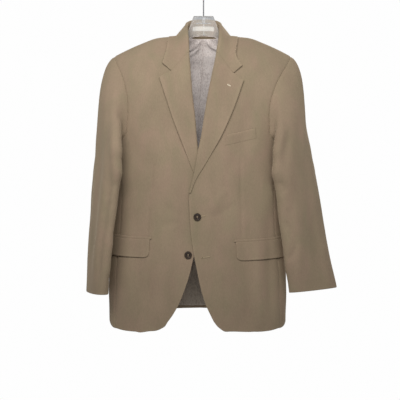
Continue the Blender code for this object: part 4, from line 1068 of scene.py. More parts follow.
def cloth(
    name,
    node,
    slot,
    middle,
    out,
    thick,
    rows,
    columns,
    looks,
    lined=None,
    allowance=ALLOWANCE,
    free=(0, 0, 0, 0),
    cap=0.0,
):
    """Closed cloth wall about a grid of middles: middle +- out * thickness / 2.

    Near an edge the thickness goes as a quarter round, sqrt(1 - (1 - distance / roll) ** 2), so
    the edge is turned over and not cut square. lined marks the cells whose inner face shows the
    lining, and free the edges that are not sewn, where the nap is brushed lighter. cap is not
    used.
    """
    edge = to_edge(rows, columns)
    roll = np.sqrt(1 - (1 - np.clip(edge / EDGE[-1], 0, 1)) ** 2) * (1 - ROLL_FLOOR) + ROLL_FLOOR
    half = (out * thick / 2) * roll[..., None]
    outer = middle + half
    inner = middle - half
    turn = np.sum(np.cross(np.gradient(middle, axis=1), np.gradient(middle, axis=0)) * out, axis=-1)
    flip = np.median(turn) < 0
    count = edge.size
    index = np.arange(count).reshape(edge.shape)
    quads = np.stack((index[:-1, :-1], index[:-1, 1:], index[1:, 1:], index[1:, :-1]), axis=-1)
    quads = quads.reshape(-1, 4)
    loop = np.concatenate((index[0, :-1], index[:-1, -1], index[-1, :0:-1], index[:0:-1, 0]))
    ahead = np.roll(loop, -1)
    rim = np.stack((ahead, loop, loop + count, ahead + count), axis=-1)
    faces = np.concatenate((quads, quads[:, ::-1] + count, rim))
    if flip:
        faces = faces[:, ::-1]
    points = np.concatenate((outer.reshape(-1, 3), inner.reshape(-1, 3)))
    piece = make(name, node, points, faces, looks)
    kinds = np.zeros(len(faces), np.int32)
    if lined is not None:
        kinds[len(quads) : 2 * len(quads)] = lined[:-1, :-1].ravel()
    piece.data.polygons.foreach_set("material_index", kinds)
    across = np.broadcast_to(columns, edge.shape)
    along = np.broadcast_to(rows[:, None], edge.shape)
    flat = np.stack((across, along), axis=-1).reshape(-1, 2)
    layer = piece.data.uv_layers.new(name="cloth")
    corners = np.empty(len(piece.data.loops), np.int32)
    piece.data.loops.foreach_get("vertex_index", corners)
    layer.data.foreach_set("uv", flat[corners % count].astype(np.float32).ravel())
    worn = 1 - ease(0.0, WORN, to_edge(rows, columns, free))
    per_vertex(piece, "worn", np.tile(worn.ravel(), 2))
    return piece


def drawn_in(middle, out, rows, columns, sewn):
    """The middles with the edges that are sewn drawn in by an S-curve over the seam's breadth."""
    near = 1 - ease(0.0, SEAM_BREADTH, to_edge(rows, columns, sewn))
    return middle - out * (SEAM_DIP * near)[..., None]


def grown(points, lap):
    """The points with the grid's four edges moved outwards along the cloth by a lap."""
    points = points.copy()
    points[0] += lap * unit(points[0] - points[1])
    points[-1] += lap * unit(points[-1] - points[-2])
    points[:, 0] += lap * unit(points[:, 0] - points[:, 1])
    points[:, -1] += lap * unit(points[:, -1] - points[:, -2])
    return points


def on_chart(
    name,
    node,
    slot,
    chart,
    grid,
    lift,
    thick,
    looks,
    lining_at=None,
    cell=CELL,
    allowance=ALLOWANCE,
    free=(0, 0, 0, 0),
    more=None,
    sewn=None,
    lap=LAP,
):
    """Cloth that lies on a chart.

    lift is the height of its middle over the chart, to which more adds from the places themselves.
    lining_at says how far from the first row and from both side columns its inner face is lined.
    """
    points = chart(grid[..., 0], grid[..., 1])
    fine, rows, columns = resampled(grid, points, cell)
    out = normal(chart, fine[..., 0], fine[..., 1])
    middle = chart(fine[..., 0], fine[..., 1])
    height = fine[..., 2] + lift + (more(middle) if more else 0.0)
    middle = middle + out * height[..., None]
    lined = None
    if lining_at:
        low, inside, outside = lining_at
        lined = (rows > low)[:, None] & ((columns > inside) & (columns < columns[-1] - outside))[None]
    if sewn:
        middle = drawn_in(middle, out, rows, columns, sewn)
    middle = grown(middle, lap)
    return cloth(name, node, slot, middle, out, thick, rows, columns, looks, lined, allowance, free)


def from_middle(name, node, slot, middle, thick, looks, cell, allowance=ALLOWANCE, stand_off=0.0):
    """Cloth about a grid of middles, whose last column may stand off outwards by an S-curve."""
    fine, rows, columns = resampled(middle, middle, cell)
    out = grid_normals(fine)
    out = out * np.sign(np.median(np.sum((out * fine)[:, -3:, :2], axis=-1)))
    share = (1 - ease(0.0, STAND_BREADTH, columns[-1] - columns))[None]
    share = share * ease(*STAND_FRONT, -fine[..., 1]) * ease(*STAND_LOW, fine[..., 2])
    settled = SETTLE * (1 - ease(*SETTLE_NEAR, np.abs(fine[..., 1])))
    settled = settled * ease(0.0, STAND_BREADTH, columns)[None]
    fine = fine + out * (stand_off * share - settled * np.sign(stand_off))[..., None]
    fine = grown(fine, LAP)
    free = (0, 0, 0, 1 if stand_off else 0)
    return cloth(name, node, slot, fine, out, thick, rows, columns, looks, None, allowance, free)


# Folds of the lining, seen from the front: they drag from the neck seam to both sides, and hang down
LINING_FOLDS = (
    (-0.060, -0.196, -0.006, -0.158, 0.007, 0.0040, -0.0080),
    (-0.064, -0.212, -0.008, -0.172, 0.008, 0.0044, -0.0066),
    (0.058, -0.194, 0.006, -0.158, -0.007, 0.0040, -0.0076),
    (-0.036, -0.190, -0.026, -0.340, 0.003, 0.0060, -0.0030),
    (0.030, -0.200, 0.022, -0.360, -0.002, 0.0060, -0.0028),
    (-0.010, -0.207, 0.044, -0.204, 0.001, 0.0040, -0.0020),
    (-0.046, -0.740, -0.030, -0.920, 0.003, 0.0060, -0.0026),
    (-0.020, -0.745, -0.008, -0.915, 0.002, 0.0050, -0.0024),
)
# Folds of the sleeves: start angle, start z, end angle, end z, bow, half width, height
SLEEVE_FOLDS = {
    "left": (
        (76.0, -0.395, 86.0, -0.575, 0.000, 0.018, 0.0090),
        (60.0, -0.420, 84.0, -0.640, 0.006, 0.013, -0.0040),
        (30.0, -0.330, 50.0, -0.620, 0.006, 0.022, 0.0034),
        (-12.0, -0.360, -8.0, -0.800, 0.004, 0.020, -0.0034),
        (22.0, -0.600, 36.0, -0.840, -0.004, 0.022, 0.0040),
        (84.0, -0.655, 36.0, -0.740, 0.006, 0.008, -0.0036),
        (86.0, -0.765, 40.0, -0.725, -0.006, 0.008, -0.0032),
        (84.0, -0.590, 50.0, -0.640, 0.004, 0.009, 0.0022),
        (82.0, -0.555, 50.0, -0.590, 0.004, 0.008, -0.0024),
        (104.0, -0.600, 102.0, -0.830, 0.000, 0.013, 0.0030),
        (98.0, -0.385, 94.0, -0.510, 0.000, 0.016, 0.0080),
        (-60.0, -0.440, -48.0, -0.700, -0.004, 0.016, -0.0030),
        (-40.0, -0.700, -34.0, -0.860, 0.003, 0.016, 0.0030),
        (164.0, -0.480, 172.0, -0.820, 0.006, 0.018, -0.0036),
        (200.0, -0.500, 190.0, -0.840, 0.006, 0.020, 0.0034),
        (240.0, -0.560, 180.0, -0.620, 0.006, 0.010, -0.0028),
        (245.0, -0.610, 190.0, -0.660, 0.006, 0.010, -0.0024),
    ),
    "right": (
        (76.0, -0.395, 86.0, -0.575, 0.000, 0.018, 0.0090),
        (58.0, -0.470, 62.0, -0.860, 0.003, 0.010, -0.0044),
        (36.0, -0.420, 40.0, -0.860, 0.004, 0.020, 0.0034),
        (10.0, -0.380, 6.0, -0.830, 0.004, 0.022, -0.0032),
        (84.0, -0.560, 56.0, -0.610, 0.004, 0.008, -0.0026),
        (84.0, -0.610, 46.0, -0.650, 0.004, 0.009, -0.0022),
        (84.0, -0.660, 58.0, -0.690, -0.004, 0.009, -0.0018),
        (108.0, -0.560, 106.0, -0.850, 0.000, 0.014, 0.0034),
        (112.0, -0.690, 110.0, -0.815, 0.000, 0.014, 0.0040),
        (98.0, -0.385, 94.0, -0.510, 0.000, 0.016, 0.0080),
        (-40.0, -0.420, -44.0, -0.700, -0.004, 0.018, -0.0032),
        (-70.0, -0.520, -66.0, -0.840, 0.004, 0.018, 0.0030),
        (168.0, -0.460, 164.0, -0.840, 0.006, 0.018, -0.0034),
        (190.0, -0.480, 200.0, -0.820, 0.006, 0.020, 0.0036),
        (235.0, -0.560, 180.0, -0.620, 0.006, 0.010, -0.0028),
        (240.0, -0.620, 190.0, -0.670, 0.006, 0.010, -0.0024),
    ),
}


def sleeve_relief(side, grid, angles):
    """Height of a sleeve's folds: the body's bells, with the way round each ring as its breadth."""
    loop = np.concatenate((grid, grid[:, :1]), axis=1)
    steps = np.linalg.norm(np.diff(loop, axis=1), axis=-1)
    way = np.concatenate((np.zeros((len(grid), 1)), np.cumsum(steps, axis=1)), axis=1)
    girth = way[:, -1:]
    turns = np.append(angles, 360.0)
    ring = way[len(way) // 2]
    total = np.zeros(grid.shape[:2])
    z = grid[..., 2]
    part = way[:, :-1] / girth
    for start, start_z, end, end_z, bow, half, height in SLEEVE_FOLDS[side]:
        ends = np.interp((start % 360, end % 360), turns, ring / ring[-1])
        ends = ends - np.round(ends - ends[0])
        for turn in (-1, 0, 1):
            row = (ends[0] + turn, start_z, ends[1] + turn, end_z)
            scaled = (row[0] * ring[-1], row[1], row[2] * ring[-1], row[3], bow, half, height)
            total = total + bells(part * ring[-1], z, (scaled,))
    return total


def sleeve(side, looks):
    """Two-piece sleeve: folds along the normals of the whole grid, then a top and an under piece."""
    grid, out, angles = sleeve_grid(side)
    wrapped = np.concatenate((grid[:, -1:], grid, grid[:, :1]), axis=1)
    normals = grid_normals(wrapped)[:, 1:-1]
    centre = grid.mean(axis=1, keepdims=True)
    if np.median(np.sum(normals[-1] * (grid[-1] - centre[-1]), axis=-1)) < 0:
        normals = -normals
    start = ease(0.0, CAP_FADE, np.linspace(0.0, 1.0, len(CAP_STEPS)))
    fade = np.append(start, np.ones(len(grid) - len(start)))[:, None]
    normals = unit(out * (1 - fade[..., None]) + normals * fade[..., None])
    grid = grid + normals * (sleeve_relief(side, grid, angles) * fade)[..., None]
    count = grid.shape[1]
    front_seam = ARM_INTERVALS
    back_seam = ARM_INTERVALS + UNDERARM_INTERVALS + BACK_SHIFT
    pieces = {
        "top": np.arange(back_seam, count + front_seam + 1) % count,
        "under": np.arange(front_seam, back_seam + 1),
    }
    both = np.concatenate((grid, normals), axis=-1)
    for piece, chosen in pieces.items():
        name = "sleeve_" + piece + "_" + side
        fine, rows, columns = resampled(both[:, chosen], grid[:, chosen], CELL)
        out = unit(fine[..., 3:])
        middle = drawn_in(fine[..., :3] - out * CLOTH / 2, out, rows, columns, (1, 0, 1, 1))
        middle = grown(middle, LAP)
        lined = (rows < rows[-1] - TURN_UP)[:, None] & (columns > -1)[None, :]
        shape = (middle, out, CLOTH, rows, columns)
        cloth("suede_" + name, name, "suede", *shape, looks, lined, free=(0, 1, 0, 0), cap=CROWN)


def hip_pocket(side, looks):
    """Pocket flap with rounded lower corners, bulging a little at its middle, and the jet above it."""
    sign = 1 if side == "left" else -1
    x, top_in, top_out, deep = FLAPS[side]
    chart = lapped(around) if side == "left" else around
    first = float(way_round(x, top_in))
    last = along_section(first, top_in, FLAP_LENGTH, sign)
    columns = (1 - np.cos(np.linspace(0.0, np.pi, 60))) / 2
    near = np.clip(np.minimum(columns, 1 - columns) / FLAP_CORNER, 0.0, 1.0)
    short = (1 - np.sqrt(1 - (1 - near) ** 2)) * FLAP_ROUND
    top = top_in + (top_out - top_in) * columns
    down = np.linspace(1.0, 0.0, 16)[:, None]
    z = top[None] - (deep - short)[None] * down
    rise = FLAP_BULGE * np.sin(np.pi * columns)[None] * down
    ways = np.broadcast_to(first + (last - first) * columns, z.shape)
    grid = np.stack((ways, z, rise), axis=-1)
    lift = LAY + FLAP / 2
    names = ("suede_flap_" + side, "flap_" + side, "suede")
    way = {"cell": SMALL_CELL, "allowance": FLAP_ALLOWANCE, "free": (1, 0, 1, 1)}
    on_chart(*names, chart, grid, lift, FLAP, looks, **way)
    margin = JET_MARGIN / FLAP_LENGTH * (last - first)
    jet_ways = np.linspace(first - margin, last + margin, 30)
    jet_top = np.interp(np.linspace(-0.02, 1.02, 30), columns, top)
    jet_z = jet_top[None] + np.linspace(LAY, LAY + JET, 3)[:, None]
    grid = np.stack((np.broadcast_to(jet_ways, jet_z.shape), jet_z, 0.0 * jet_z), axis=-1)
    lift = LAY + CLOTH / 2
    names = ("suede_jet_" + side, "jet_" + side, "suede")
    on_chart(*names, chart, grid, lift, CLOTH, looks, cell=SMALL_CELL, allowance=JET_ALLOWANCE)


def breast_welt(looks):
    """Slanted welt of the breast pocket, on the wearer's left front."""
    corners = np.array(WELT)
    across = np.linspace(0.0, 1.0, 24)[None, :, None]
    up = np.linspace(0.0, 1.0, 8)[:, None, None]
    low = corners[0] + (corners[1] - corners[0]) * across
    high = corners[3] + (corners[2] - corners[3]) * across
    plan = low + (high - low) * up
    breadth = plan[..., 0] - lean(plan[..., 1])
    rise = np.broadcast_to(WELT_SUNK * (1 - up[..., 0]) + WELT_STANDS * up[..., 0], breadth.shape)
    grid = np.stack((breadth, level(breadth, plan[..., 1]), rise), axis=-1)
    lift = WELT_THICK / 2
    chart = front_chart("left")
    names = ("suede_breast_welt", "breast_welt", "suede")
    way = {"cell": SMALL_CELL, "allowance": WELT_ALLOWANCE, "free": (0, 1, 0, 0)}
    on_chart(*names, chart, grid, lift, WELT_THICK, looks, **way)


def pocket_mouth(dark):
    """Painted shade in the mouth of the breast pocket: a dark line along the welt's upper edge."""
    corners = np.array(WELT)
    plan = corners[3] + (corners[2] - corners[3]) * np.linspace(*MOUTH_ENDS, 30)[:, None]
    breadth = plan[:, 0] - lean(plan[:, 1])
    line = front_chart("left")(breadth, level(breadth, plan[:, 1] + MOUTH))
    joined("painted_shade_breast_pocket_mouth", None, [wire(line, MOUTH, 8)], [dark])


def lining_relief(points):
    """Height of the lining's folds, with a furrow at centre back and more depth over the underlap."""
    x, _, z = np.moveaxis(points, -1, 0)
    breadth = x - lean(z)
    depth, half = FURROW
    furrow = depth * np.exp(-((breadth / half) ** 2)) * ease(VENT_TOP, LINING_SLIT, z)
    depth, start, end = UNDERLAP
    deeper = depth * ease(start, end, breadth) * ease(LINING_SLIT, VENT_TOP, z)
    return bells(x, z, LINING_FOLDS) + furrow + deeper


def neck_label(middle, looks):
    """Bare woven strip on the inside of the collar stand."""
    centre = len(middle) // 2
    rows = middle[centre - LABEL_HALF : centre + LABEL_HALF + 1]
    facing = grid_normals(middle)[centre - LABEL_HALF : centre + LABEL_HALF + 1, 2:3]
    facing = facing * np.sign(-facing[LABEL_HALF, 0, 1])
    root = rows[:, 1:2]
    strip = root + (rows[:, 3:4] - root) * np.linspace(*LABEL_SHARES, 4)[None, :, None]
    strip = strip + facing * (LAPEL / 2 + LABEL + LABEL / 2)
    names = ("woven_neck_strip", "neck_label", "label")
    from_middle(*names, strip, LABEL, looks, SMALL_CELL, STRIP_ALLOWANCE)


def button_axes(name):
    """A button's foot on the cloth, its axis, and the ways across and up."""
    side, x, z = BUTTONS[name]
    foot = on_front(side, np.array(x), np.array(z), np.array(BUTTON_STAND))
    higher = on_front(side, np.array(x), np.array(z), np.array(BUTTON_STAND + BUTTON_RADIUS))
    axis = unit(higher - foot)
    across = unit(np.cross((0.0, 0.0, 1.0), axis))
    return foot, axis, across, np.cross(axis, across)


def loft(rings):
    """Points and faces of a tube through rings of points, each end closed by one polygon."""
    count, sides = rings.shape[:2]
    index = np.arange(count * sides).reshape(count, sides)
    ahead = np.roll(index, -1, axis=1)
    quads = np.stack((index[:-1], ahead[:-1], ahead[1:], index[1:]), axis=-1).reshape(-1, 4)
    return rings.reshape(-1, 3), quads.tolist() + [index[0, ::-1].tolist(), index[-1].tolist()]


def wire(line, radius, sides=10):
    """Rings round a line of points: radius may change along it. Frames follow the tangents."""
    line = np.asarray(line, float)
    tangent = unit(np.gradient(line, axis=0))
    guide = np.array((0.0, 1.0, 0.0)) if abs(tangent[:, 1]).mean() < 0.7 else np.array((0.0, 0.0, 1.0))
    first = unit(np.cross(tangent, guide))
    second = np.cross(tangent, first)
    turn = np.linspace(0.0, 2 * np.pi, sides + 1)[:-1]
    radius = np.broadcast_to(radius, (len(line),))[:, None, None]
    circle = first[:, None] * np.cos(turn)[None, :, None] + second[:, None] * np.sin(turn)[None, :, None]
    return line[:, None] + circle * radius


# radius, height of the button's turned face and back
TURNING = (
    (0.0002, 0.0021),
    (0.0030, 0.0021),
    (0.0052, 0.0023),
    (0.0064, 0.0030),
    (0.0076, 0.0036),
    (0.0088, 0.0035),
    (0.0098, 0.0026),
    (0.0100, 0.0018),
    (0.0096, 0.0008),
    (0.0080, 0.0002),
    (0.0040, 0.0000),
    (0.0002, 0.0000),
)
HOLE = 0.0018  # each of the four holes' distance from both middle lines
HOLE_DEEP = 0.0015
HOLE_WIDE = 0.00085  # half breadth of its bell
STRAND = 0.0003  # radius of the thread, which goes twice through each pair of holes
STRAND_APART = 0.00032  # of each strand's middle from the pair's line
STRAND_LOW = 0.0012  # height of a strand over the button's foot in the holes
STRAND_RISE = 0.0014  # and more between them
SHANK = (-0.0009, 0.0004, 0.0022)  # heights of the thread's shank under the button, and its radius


def button(name, looks, thread):
    """Four-hole button: a turned profile whose face dips by a bell at each hole, sewn with two bars."""
    foot, axis, across, up = button_axes(name)
    profile = path(TURNING, np.linspace(0.0, 1.0, 90))
    turn = np.linspace(0.0, 2 * np.pi, 73)[:-1]
    plane = profile[:, :1, None] * np.stack((np.cos(turn), np.sin(turn)), axis=-1)[None]
    holes = np.array(((1, 1), (1, -1), (-1, -1), (-1, 1))) * HOLE
    away = np.linalg.norm(plane[:, :, None] - holes, axis=-1)
    dip = (HOLE_DEEP * np.exp(-((away / HOLE_WIDE) ** 4))).sum(axis=-1)
    face = np.arange(len(profile)) < len(profile) // 2
    height = profile[:, 1:] - dip * face[:, None]
    rings = foot + plane[..., :1] * across + plane[..., 1:] * up + height[..., None] * axis
    points, faces = loft(rings)
    piece = make("horn_" + name, name, points, faces, looks)
    piece.data.set_sharp_from_angle(angle=math.radians(60))
    bars = []
    for row in (-1, 1):
        part = np.linspace(-1.0, 1.0, 15)
        for strand in (-STRAND_APART, STRAND_APART):
            lift = STRAND_LOW + STRAND_RISE * (1 - part**4)
            line = foot + np.outer(part * HOLE, across) + up * (row * HOLE + strand)
            bars.append(wire(line + lift[:, None] * axis, STRAND, 8))
    shank = foot + np.outer(np.linspace(*SHANK[:2], 4), axis)
    bars.append(wire(shank, SHANK[2], 16))
    joined("thread_" + name, None, bars, [thread])


def joined(name, node, tubes, looks):
    """One piece made of several closed tubes."""
    points = []
    faces = []
    start = 0
    for rings in tubes:
        some, quads = loft(rings)
        points.append(some)
        faces += [[corner + start for corner in face] for face in quads]
        start += len(some)
    return make(name, node, np.concatenate(points), faces, looks)


HALF = 0.0007  # half breadth of a buttonhole at its narrow end
EYE_LENGTH = 1.5  # how many of its radii an eyelet takes of the length
PURL = 0.00062  # radius of the purled ridge
KNOT = 0.00013  # and what its knots add and take
KNOT_TURN = math.pi / 2  # of their wave, from one ring to the next
PURL_RISE = 0.0006  # height of its middle over the cloth
SLOT_HALF = 0.0005
SLOT_HEIGHTS = (0.0008, 0.0001)  # of the slot's top and under side
SLOT_ENDS = (0.02, 0.98)  # parts of the length between which it runs
# side, height over the front, start x, start z, end x, end z, radius of its eyelet
BUTTONHOLES = {
    "lower": ("left", 0.0, -0.0060, -0.7586, 0.0150, -0.7552, 0.0024),
    "upper": ("left", 0.0, -0.0166, -0.6520, 0.0044, -0.6486, 0.0019),
    "lapel": ("left", LAPEL_RISE + LAPEL / 2 + 0.0004, 0.0622, -0.3054, 0.0762, -0.3130, 0.0014),
}


def buttonhole(name, thread, dark):
    """Worked buttonhole: a purled ridge round a slot with an eyelet, and the dark slot itself."""
    side, rise, start_x, start_z, end_x, end_z, eye = BUTTONHOLES[name]
    start = np.array((start_x, start_z))
    run = np.array((end_x, end_z)) - start
    length = np.linalg.norm(run)
    along = run / length
    square = np.array((-along[1], along[0]))
    turn = np.linspace(0.0, 2 * np.pi, 241)
    place = (1 - np.cos(turn)) / 2
    half = HALF + (eye - HALF) * np.exp(-((place * length / (EYE_LENGTH * eye)) ** 2))
    width = half * np.sign(np.sin(turn)) * np.abs(np.sin(turn)) ** 0.35
    plan = start + np.outer(place * length, along) + np.outer(width, square)
    line = on_front(side, plan[:, 0], plan[:, 1], np.full(len(plan), rise + PURL_RISE))
    purl = PURL + KNOT * np.sin(np.arange(len(plan)) * KNOT_TURN)
    ring = wire(line, purl, 8)
    joined("purl_" + name, None, [ring], [thread])
    part = np.linspace(*SLOT_ENDS, 24)
    half = SLOT_HALF + (eye - HALF) * np.exp(-((part * length / (EYE_LENGTH * eye)) ** 2))
    sides = np.linspace(-1.0, 1.0, 5)
    plan = (start + np.outer(part * length, along))[:, None] + (half[:, None] * sides)[..., None] * square
    top, low = (
        on_front(side, plan[..., 0], plan[..., 1], np.full(plan.shape[:2], rise + height))
        for height in SLOT_HEIGHTS
    )
    rings = np.concatenate((top, low[:, ::-1]), axis=1)
    if np.dot(np.cross(top[1, 0] - top[0, 0], top[0, 1] - top[0, 0]), (0.0, -1.0, 0.0)) < 0:
        rings = rings[::-1]
    joined("slot_" + name, None, [rings[::-1]], [dark])


# Hanger's ribs and socket, as blocks: x, y, z of the middle, size along x, y, z
HUB_BLOCKS = (
    (-0.0095, 0.0, -0.1185, 0.0012, 0.0080, 0.0130),
    (0.0095, 0.0, -0.1185, 0.0012, 0.0080, 0.0130),
    (0.0010, 0.0, -0.1450, 0.0030, 0.0076, 0.0340),
    (0.0000, 0.0, -0.1290, 0.0420, 0.0070, 0.0014),
)
RIM = 0.0022  # thickness of the hanger's rims
WEB = 0.0010  # half thickness of the web between them
RIM_SHARE = 0.2  # most of an arm's height that a rim takes
WEB_SHARE = 0.5  # most of its half thickness that the web takes
CORNER = 0.0005  # cut off the rims' corners
ARM_ROUND = 0.003  # length of an arm's rounded end
ARM_ROUND_TURNS = (15.0, 80.0)  # degrees round it
SOCKET = (-0.1285, -0.1098, 0.0045)  # heights of the hook's socket, and its radius
BLOCK_CUT = 0.35  # part of a block's half breadth that its corners lose
BLOCK_END = 0.7  # size of its ends, as a part of its middle


def block(x, y, z, size_x, size_y, size_z):
    """Eight-sided ring stack of a small moulded block, its corners cut off."""
    half = np.array((size_x, size_y)) / 2
    cut = min(half) * BLOCK_CUT
    ring = np.array(
        (
            (half[0], half[1] - cut),
            (half[0] - cut, half[1]),
            (cut - half[0], half[1]),
            (-half[0], half[1] - cut),
            (-half[0], cut - half[1]),
            (cut - half[0], -half[1]),
            (half[0] - cut, -half[1]),
            (half[0], cut - half[1]),
        )
    )
    levels = np.array((-1.0, cut * 2 / size_z - 1, 1 - cut * 2 / size_z, 1.0)) * size_z / 2
    shares = np.array((BLOCK_END, 1.0, 1.0, BLOCK_END))
    flat = ring[None] * shares[:, None, None]
    rings = np.concatenate((flat, np.broadcast_to(levels[:, None, None], (4, 8, 1))), axis=-1)
    return rings + np.array((x, y, z))


def hanger_body(looks):
    """Clear moulded hanger: an I-shaped section along the hub and both arms, with ribs and a socket."""
    outer = np.linspace(ARM_START, ARM_END, 40)
    tall = np.interp(outer, (outer[0], ARM_END), ARM_TALL)
    arm = np.column_stack((outer, ridge(outer) - ARM_UNDER, ridge(outer) - ARM_UNDER - tall))
    hub = np.array(HANGER_ROWS)
    near = np.linspace(hub[0, 0], hub[-1, 0], 60)
    hub = np.column_stack((near, *(np.interp(near, hub[:, 0], edge) for edge in hub.T[1:])))
    half = np.vstack((hub, arm))
    end = half[-1]
    middle = (end[1] + end[2]) / 2
    tip = np.radians(np.linspace(*ARM_ROUND_TURNS, 5))
    round_end = np.column_stack(
        (
            end[0] + ARM_ROUND * np.sin(tip),
            middle + (end[1] - middle) * np.cos(tip),
            middle - (middle - end[2]) * np.cos(tip),
        )
    )
    half = np.vstack((half, round_end))
    rows = np.vstack((half[:0:-1] * (-1, 1, 1), half))
    x, top, bottom = rows.T
    wide = np.interp(np.abs(x), (outer[0], ARM_END), ARM_HALF)
    rim = np.minimum(RIM, (top - bottom) * RIM_SHARE)
    web = np.minimum(WEB, wide * WEB_SHARE)
    fillet = rim / 2
    y = np.stack((wide - CORNER, wide, wide, web, web, wide, wide, wide - CORNER), axis=1)
    y = np.concatenate((y, -y[:, ::-1]), axis=1)
    z = np.stack(
        (
            top,
            top - CORNER,
            top - rim,
            top - rim - fillet,
            bottom + rim + fillet,
            bottom + rim,
            bottom + CORNER,
            bottom,
        ),
        axis=1,
    )
    z = np.concatenate((z, z[:, ::-1]), axis=1)
    rings = np.stack((np.broadcast_to(x[:, None], y.shape), y, z), axis=-1)
    centre = np.zeros(8)
    socket = np.column_stack((centre, centre, np.linspace(*SOCKET[:2], 8)))
    tubes = [rings, wire(socket, SOCKET[2], 32)] + [block(*row) for row in HUB_BLOCKS]
    piece = joined("moulded_hanger", "hanger_body", tubes, looks)
    # Clear plastic throws next to no shadow on the lining, where a render's shadow rays would stop at it
    piece.visible_shadow = False
    piece.data.set_sharp_from_angle(angle=math.radians(35))


def hanger_hook(looks):
    """Steel wire: a straight shank, a bend to one side, three quarters of a curl and a rounded end."""
    shank = np.column_stack((np.zeros(12), np.linspace(HUB_TOP + SEAM, SHANK_TOP, 12)))
    radius = CURL + WIRE
    turn = np.radians(np.linspace(*CURL_TURN, 90))
    curl = np.column_stack((radius * np.cos(turn), radius * np.sin(turn) - CURL))
    v = np.linspace(0.0, 1.0, 22)[1:-1, None]
    reach = np.linalg.norm(curl[0] - shank[-1])
    leave = np.array((0.0, 1.0)) * reach
    arrive = np.array((-math.sin(turn[0]), math.cos(turn[0]))) * reach
    bend = hermite(v, shank[-1], leave, curl[0], arrive)
    line = np.vstack((shank, bend, curl))
    line = np.column_stack((line[:, 0], 0.0 * line[:, 0], line[:, 1]))
    size = np.full(len(line), WIRE)
    size[-len(WIRE_END) :] *= np.array(WIRE_END)
    joined("wire_hook", "hanger_hook", [wire(line, size, 20)], looks)


def linear(code):
    """Linear red, green, blue and alpha of an sRGB hex code."""
    levels = np.array([int(code[k : k + 2], 16) / 255 for k in (1, 3, 5)])
    levels = np.where(levels <= 0.04045, levels / 12.92, ((levels + 0.055) / 1.055) ** 2.4)
    return (*levels.tolist(), 1.0)


def add(tree, kind, wires=(), **settings):
    """A shader node: settings are its properties, wires pair an input with a value or an output."""
    made = tree.nodes.new("ShaderNode" + kind)
    for key, value in settings.items():
        setattr(made, key, value)
    for socket, value in dict(wires).items():
        if isinstance(value, bpy.types.NodeSocket):
            tree.links.new(value, made.inputs[socket])
        else:
            made.inputs[socket].default_value = value
    return made


def start(name, sockets):
    """A new material, its node tree, its Principled shader with plain values, and the places on it."""
    look = bpy.data.materials.new(name)
    look.use_nodes = True
    tree = look.node_tree
    shader = tree.nodes["Principled BSDF"]
    for key, value in sockets.items():
        shader.inputs[key].default_value = value
    return look, tree, shader, add(tree, "TexCoord").outputs["Object"]


def noise(tree, place, **sockets):
    """A noise's number at the places."""
    return add(tree, "TexNoise", {"Vector": place, **sockets}).outputs["Fac"]


def drawn_out(tree, place, height):
    """The places with their height scaled, so that a pattern on them runs down the cloth."""
    return add(tree, "Mapping", {"Vector": place, "Scale": (1.0, 1.0, height)}).outputs["Vector"]


def ranged(tree, value, low, high, first, last):
    """A value's range from low to high, laid on the range from first to last."""
    wires = {"Value": value, "From Min": low, "From Max": high, "To Min": first, "To Max": last}
    return add(tree, "MapRange", wires).outputs["Result"]


def product(tree, *factors):
    """The product of several numbers."""
    total = factors[0]
    for factor in factors[1:]:
        total = add(tree, "Math", {0: total, 1: factor}, operation="MULTIPLY").outputs[0]
    return total


def between(tree, share, low, high, dark, light):
    """A colour that goes from dark, where the share is low, to light, where it is high."""
    ramp = add(tree, "ValToRGB", {"Fac": share})
    for index, (place, code) in enumerate(((low, dark), (high, light))):
        ramp.color_ramp.elements[index].position = place
        ramp.color_ramp.elements[index].color = linear(code)
    return ramp.outputs["Color"]


def raised(tree, height, strength, distance, under=None):
    """Normals that follow a height, on top of those of another bump."""
    wires = {"Height": height, "Strength": strength, "Distance": distance}
    if under:
        wires["Normal"] = under
    return add(tree, "Bump", wires).outputs[0]


# Two tones that the nap shows, by which way it was stroked
NAP_OLIVE = "#7d715c"
NAP_ROSE = "#857261"
# Body and veins of the lining's figure, and the painted shade that its low part is multiplied by, between
# two heights
LINING_TONES = ("#a79c97", "#cac1bc")
LINING_PAINTED_SHADE = "#ddd7c9"
PAINTED_SHADE_HEIGHTS = (-0.80, -0.62)
PLAIN = "#ffffff"


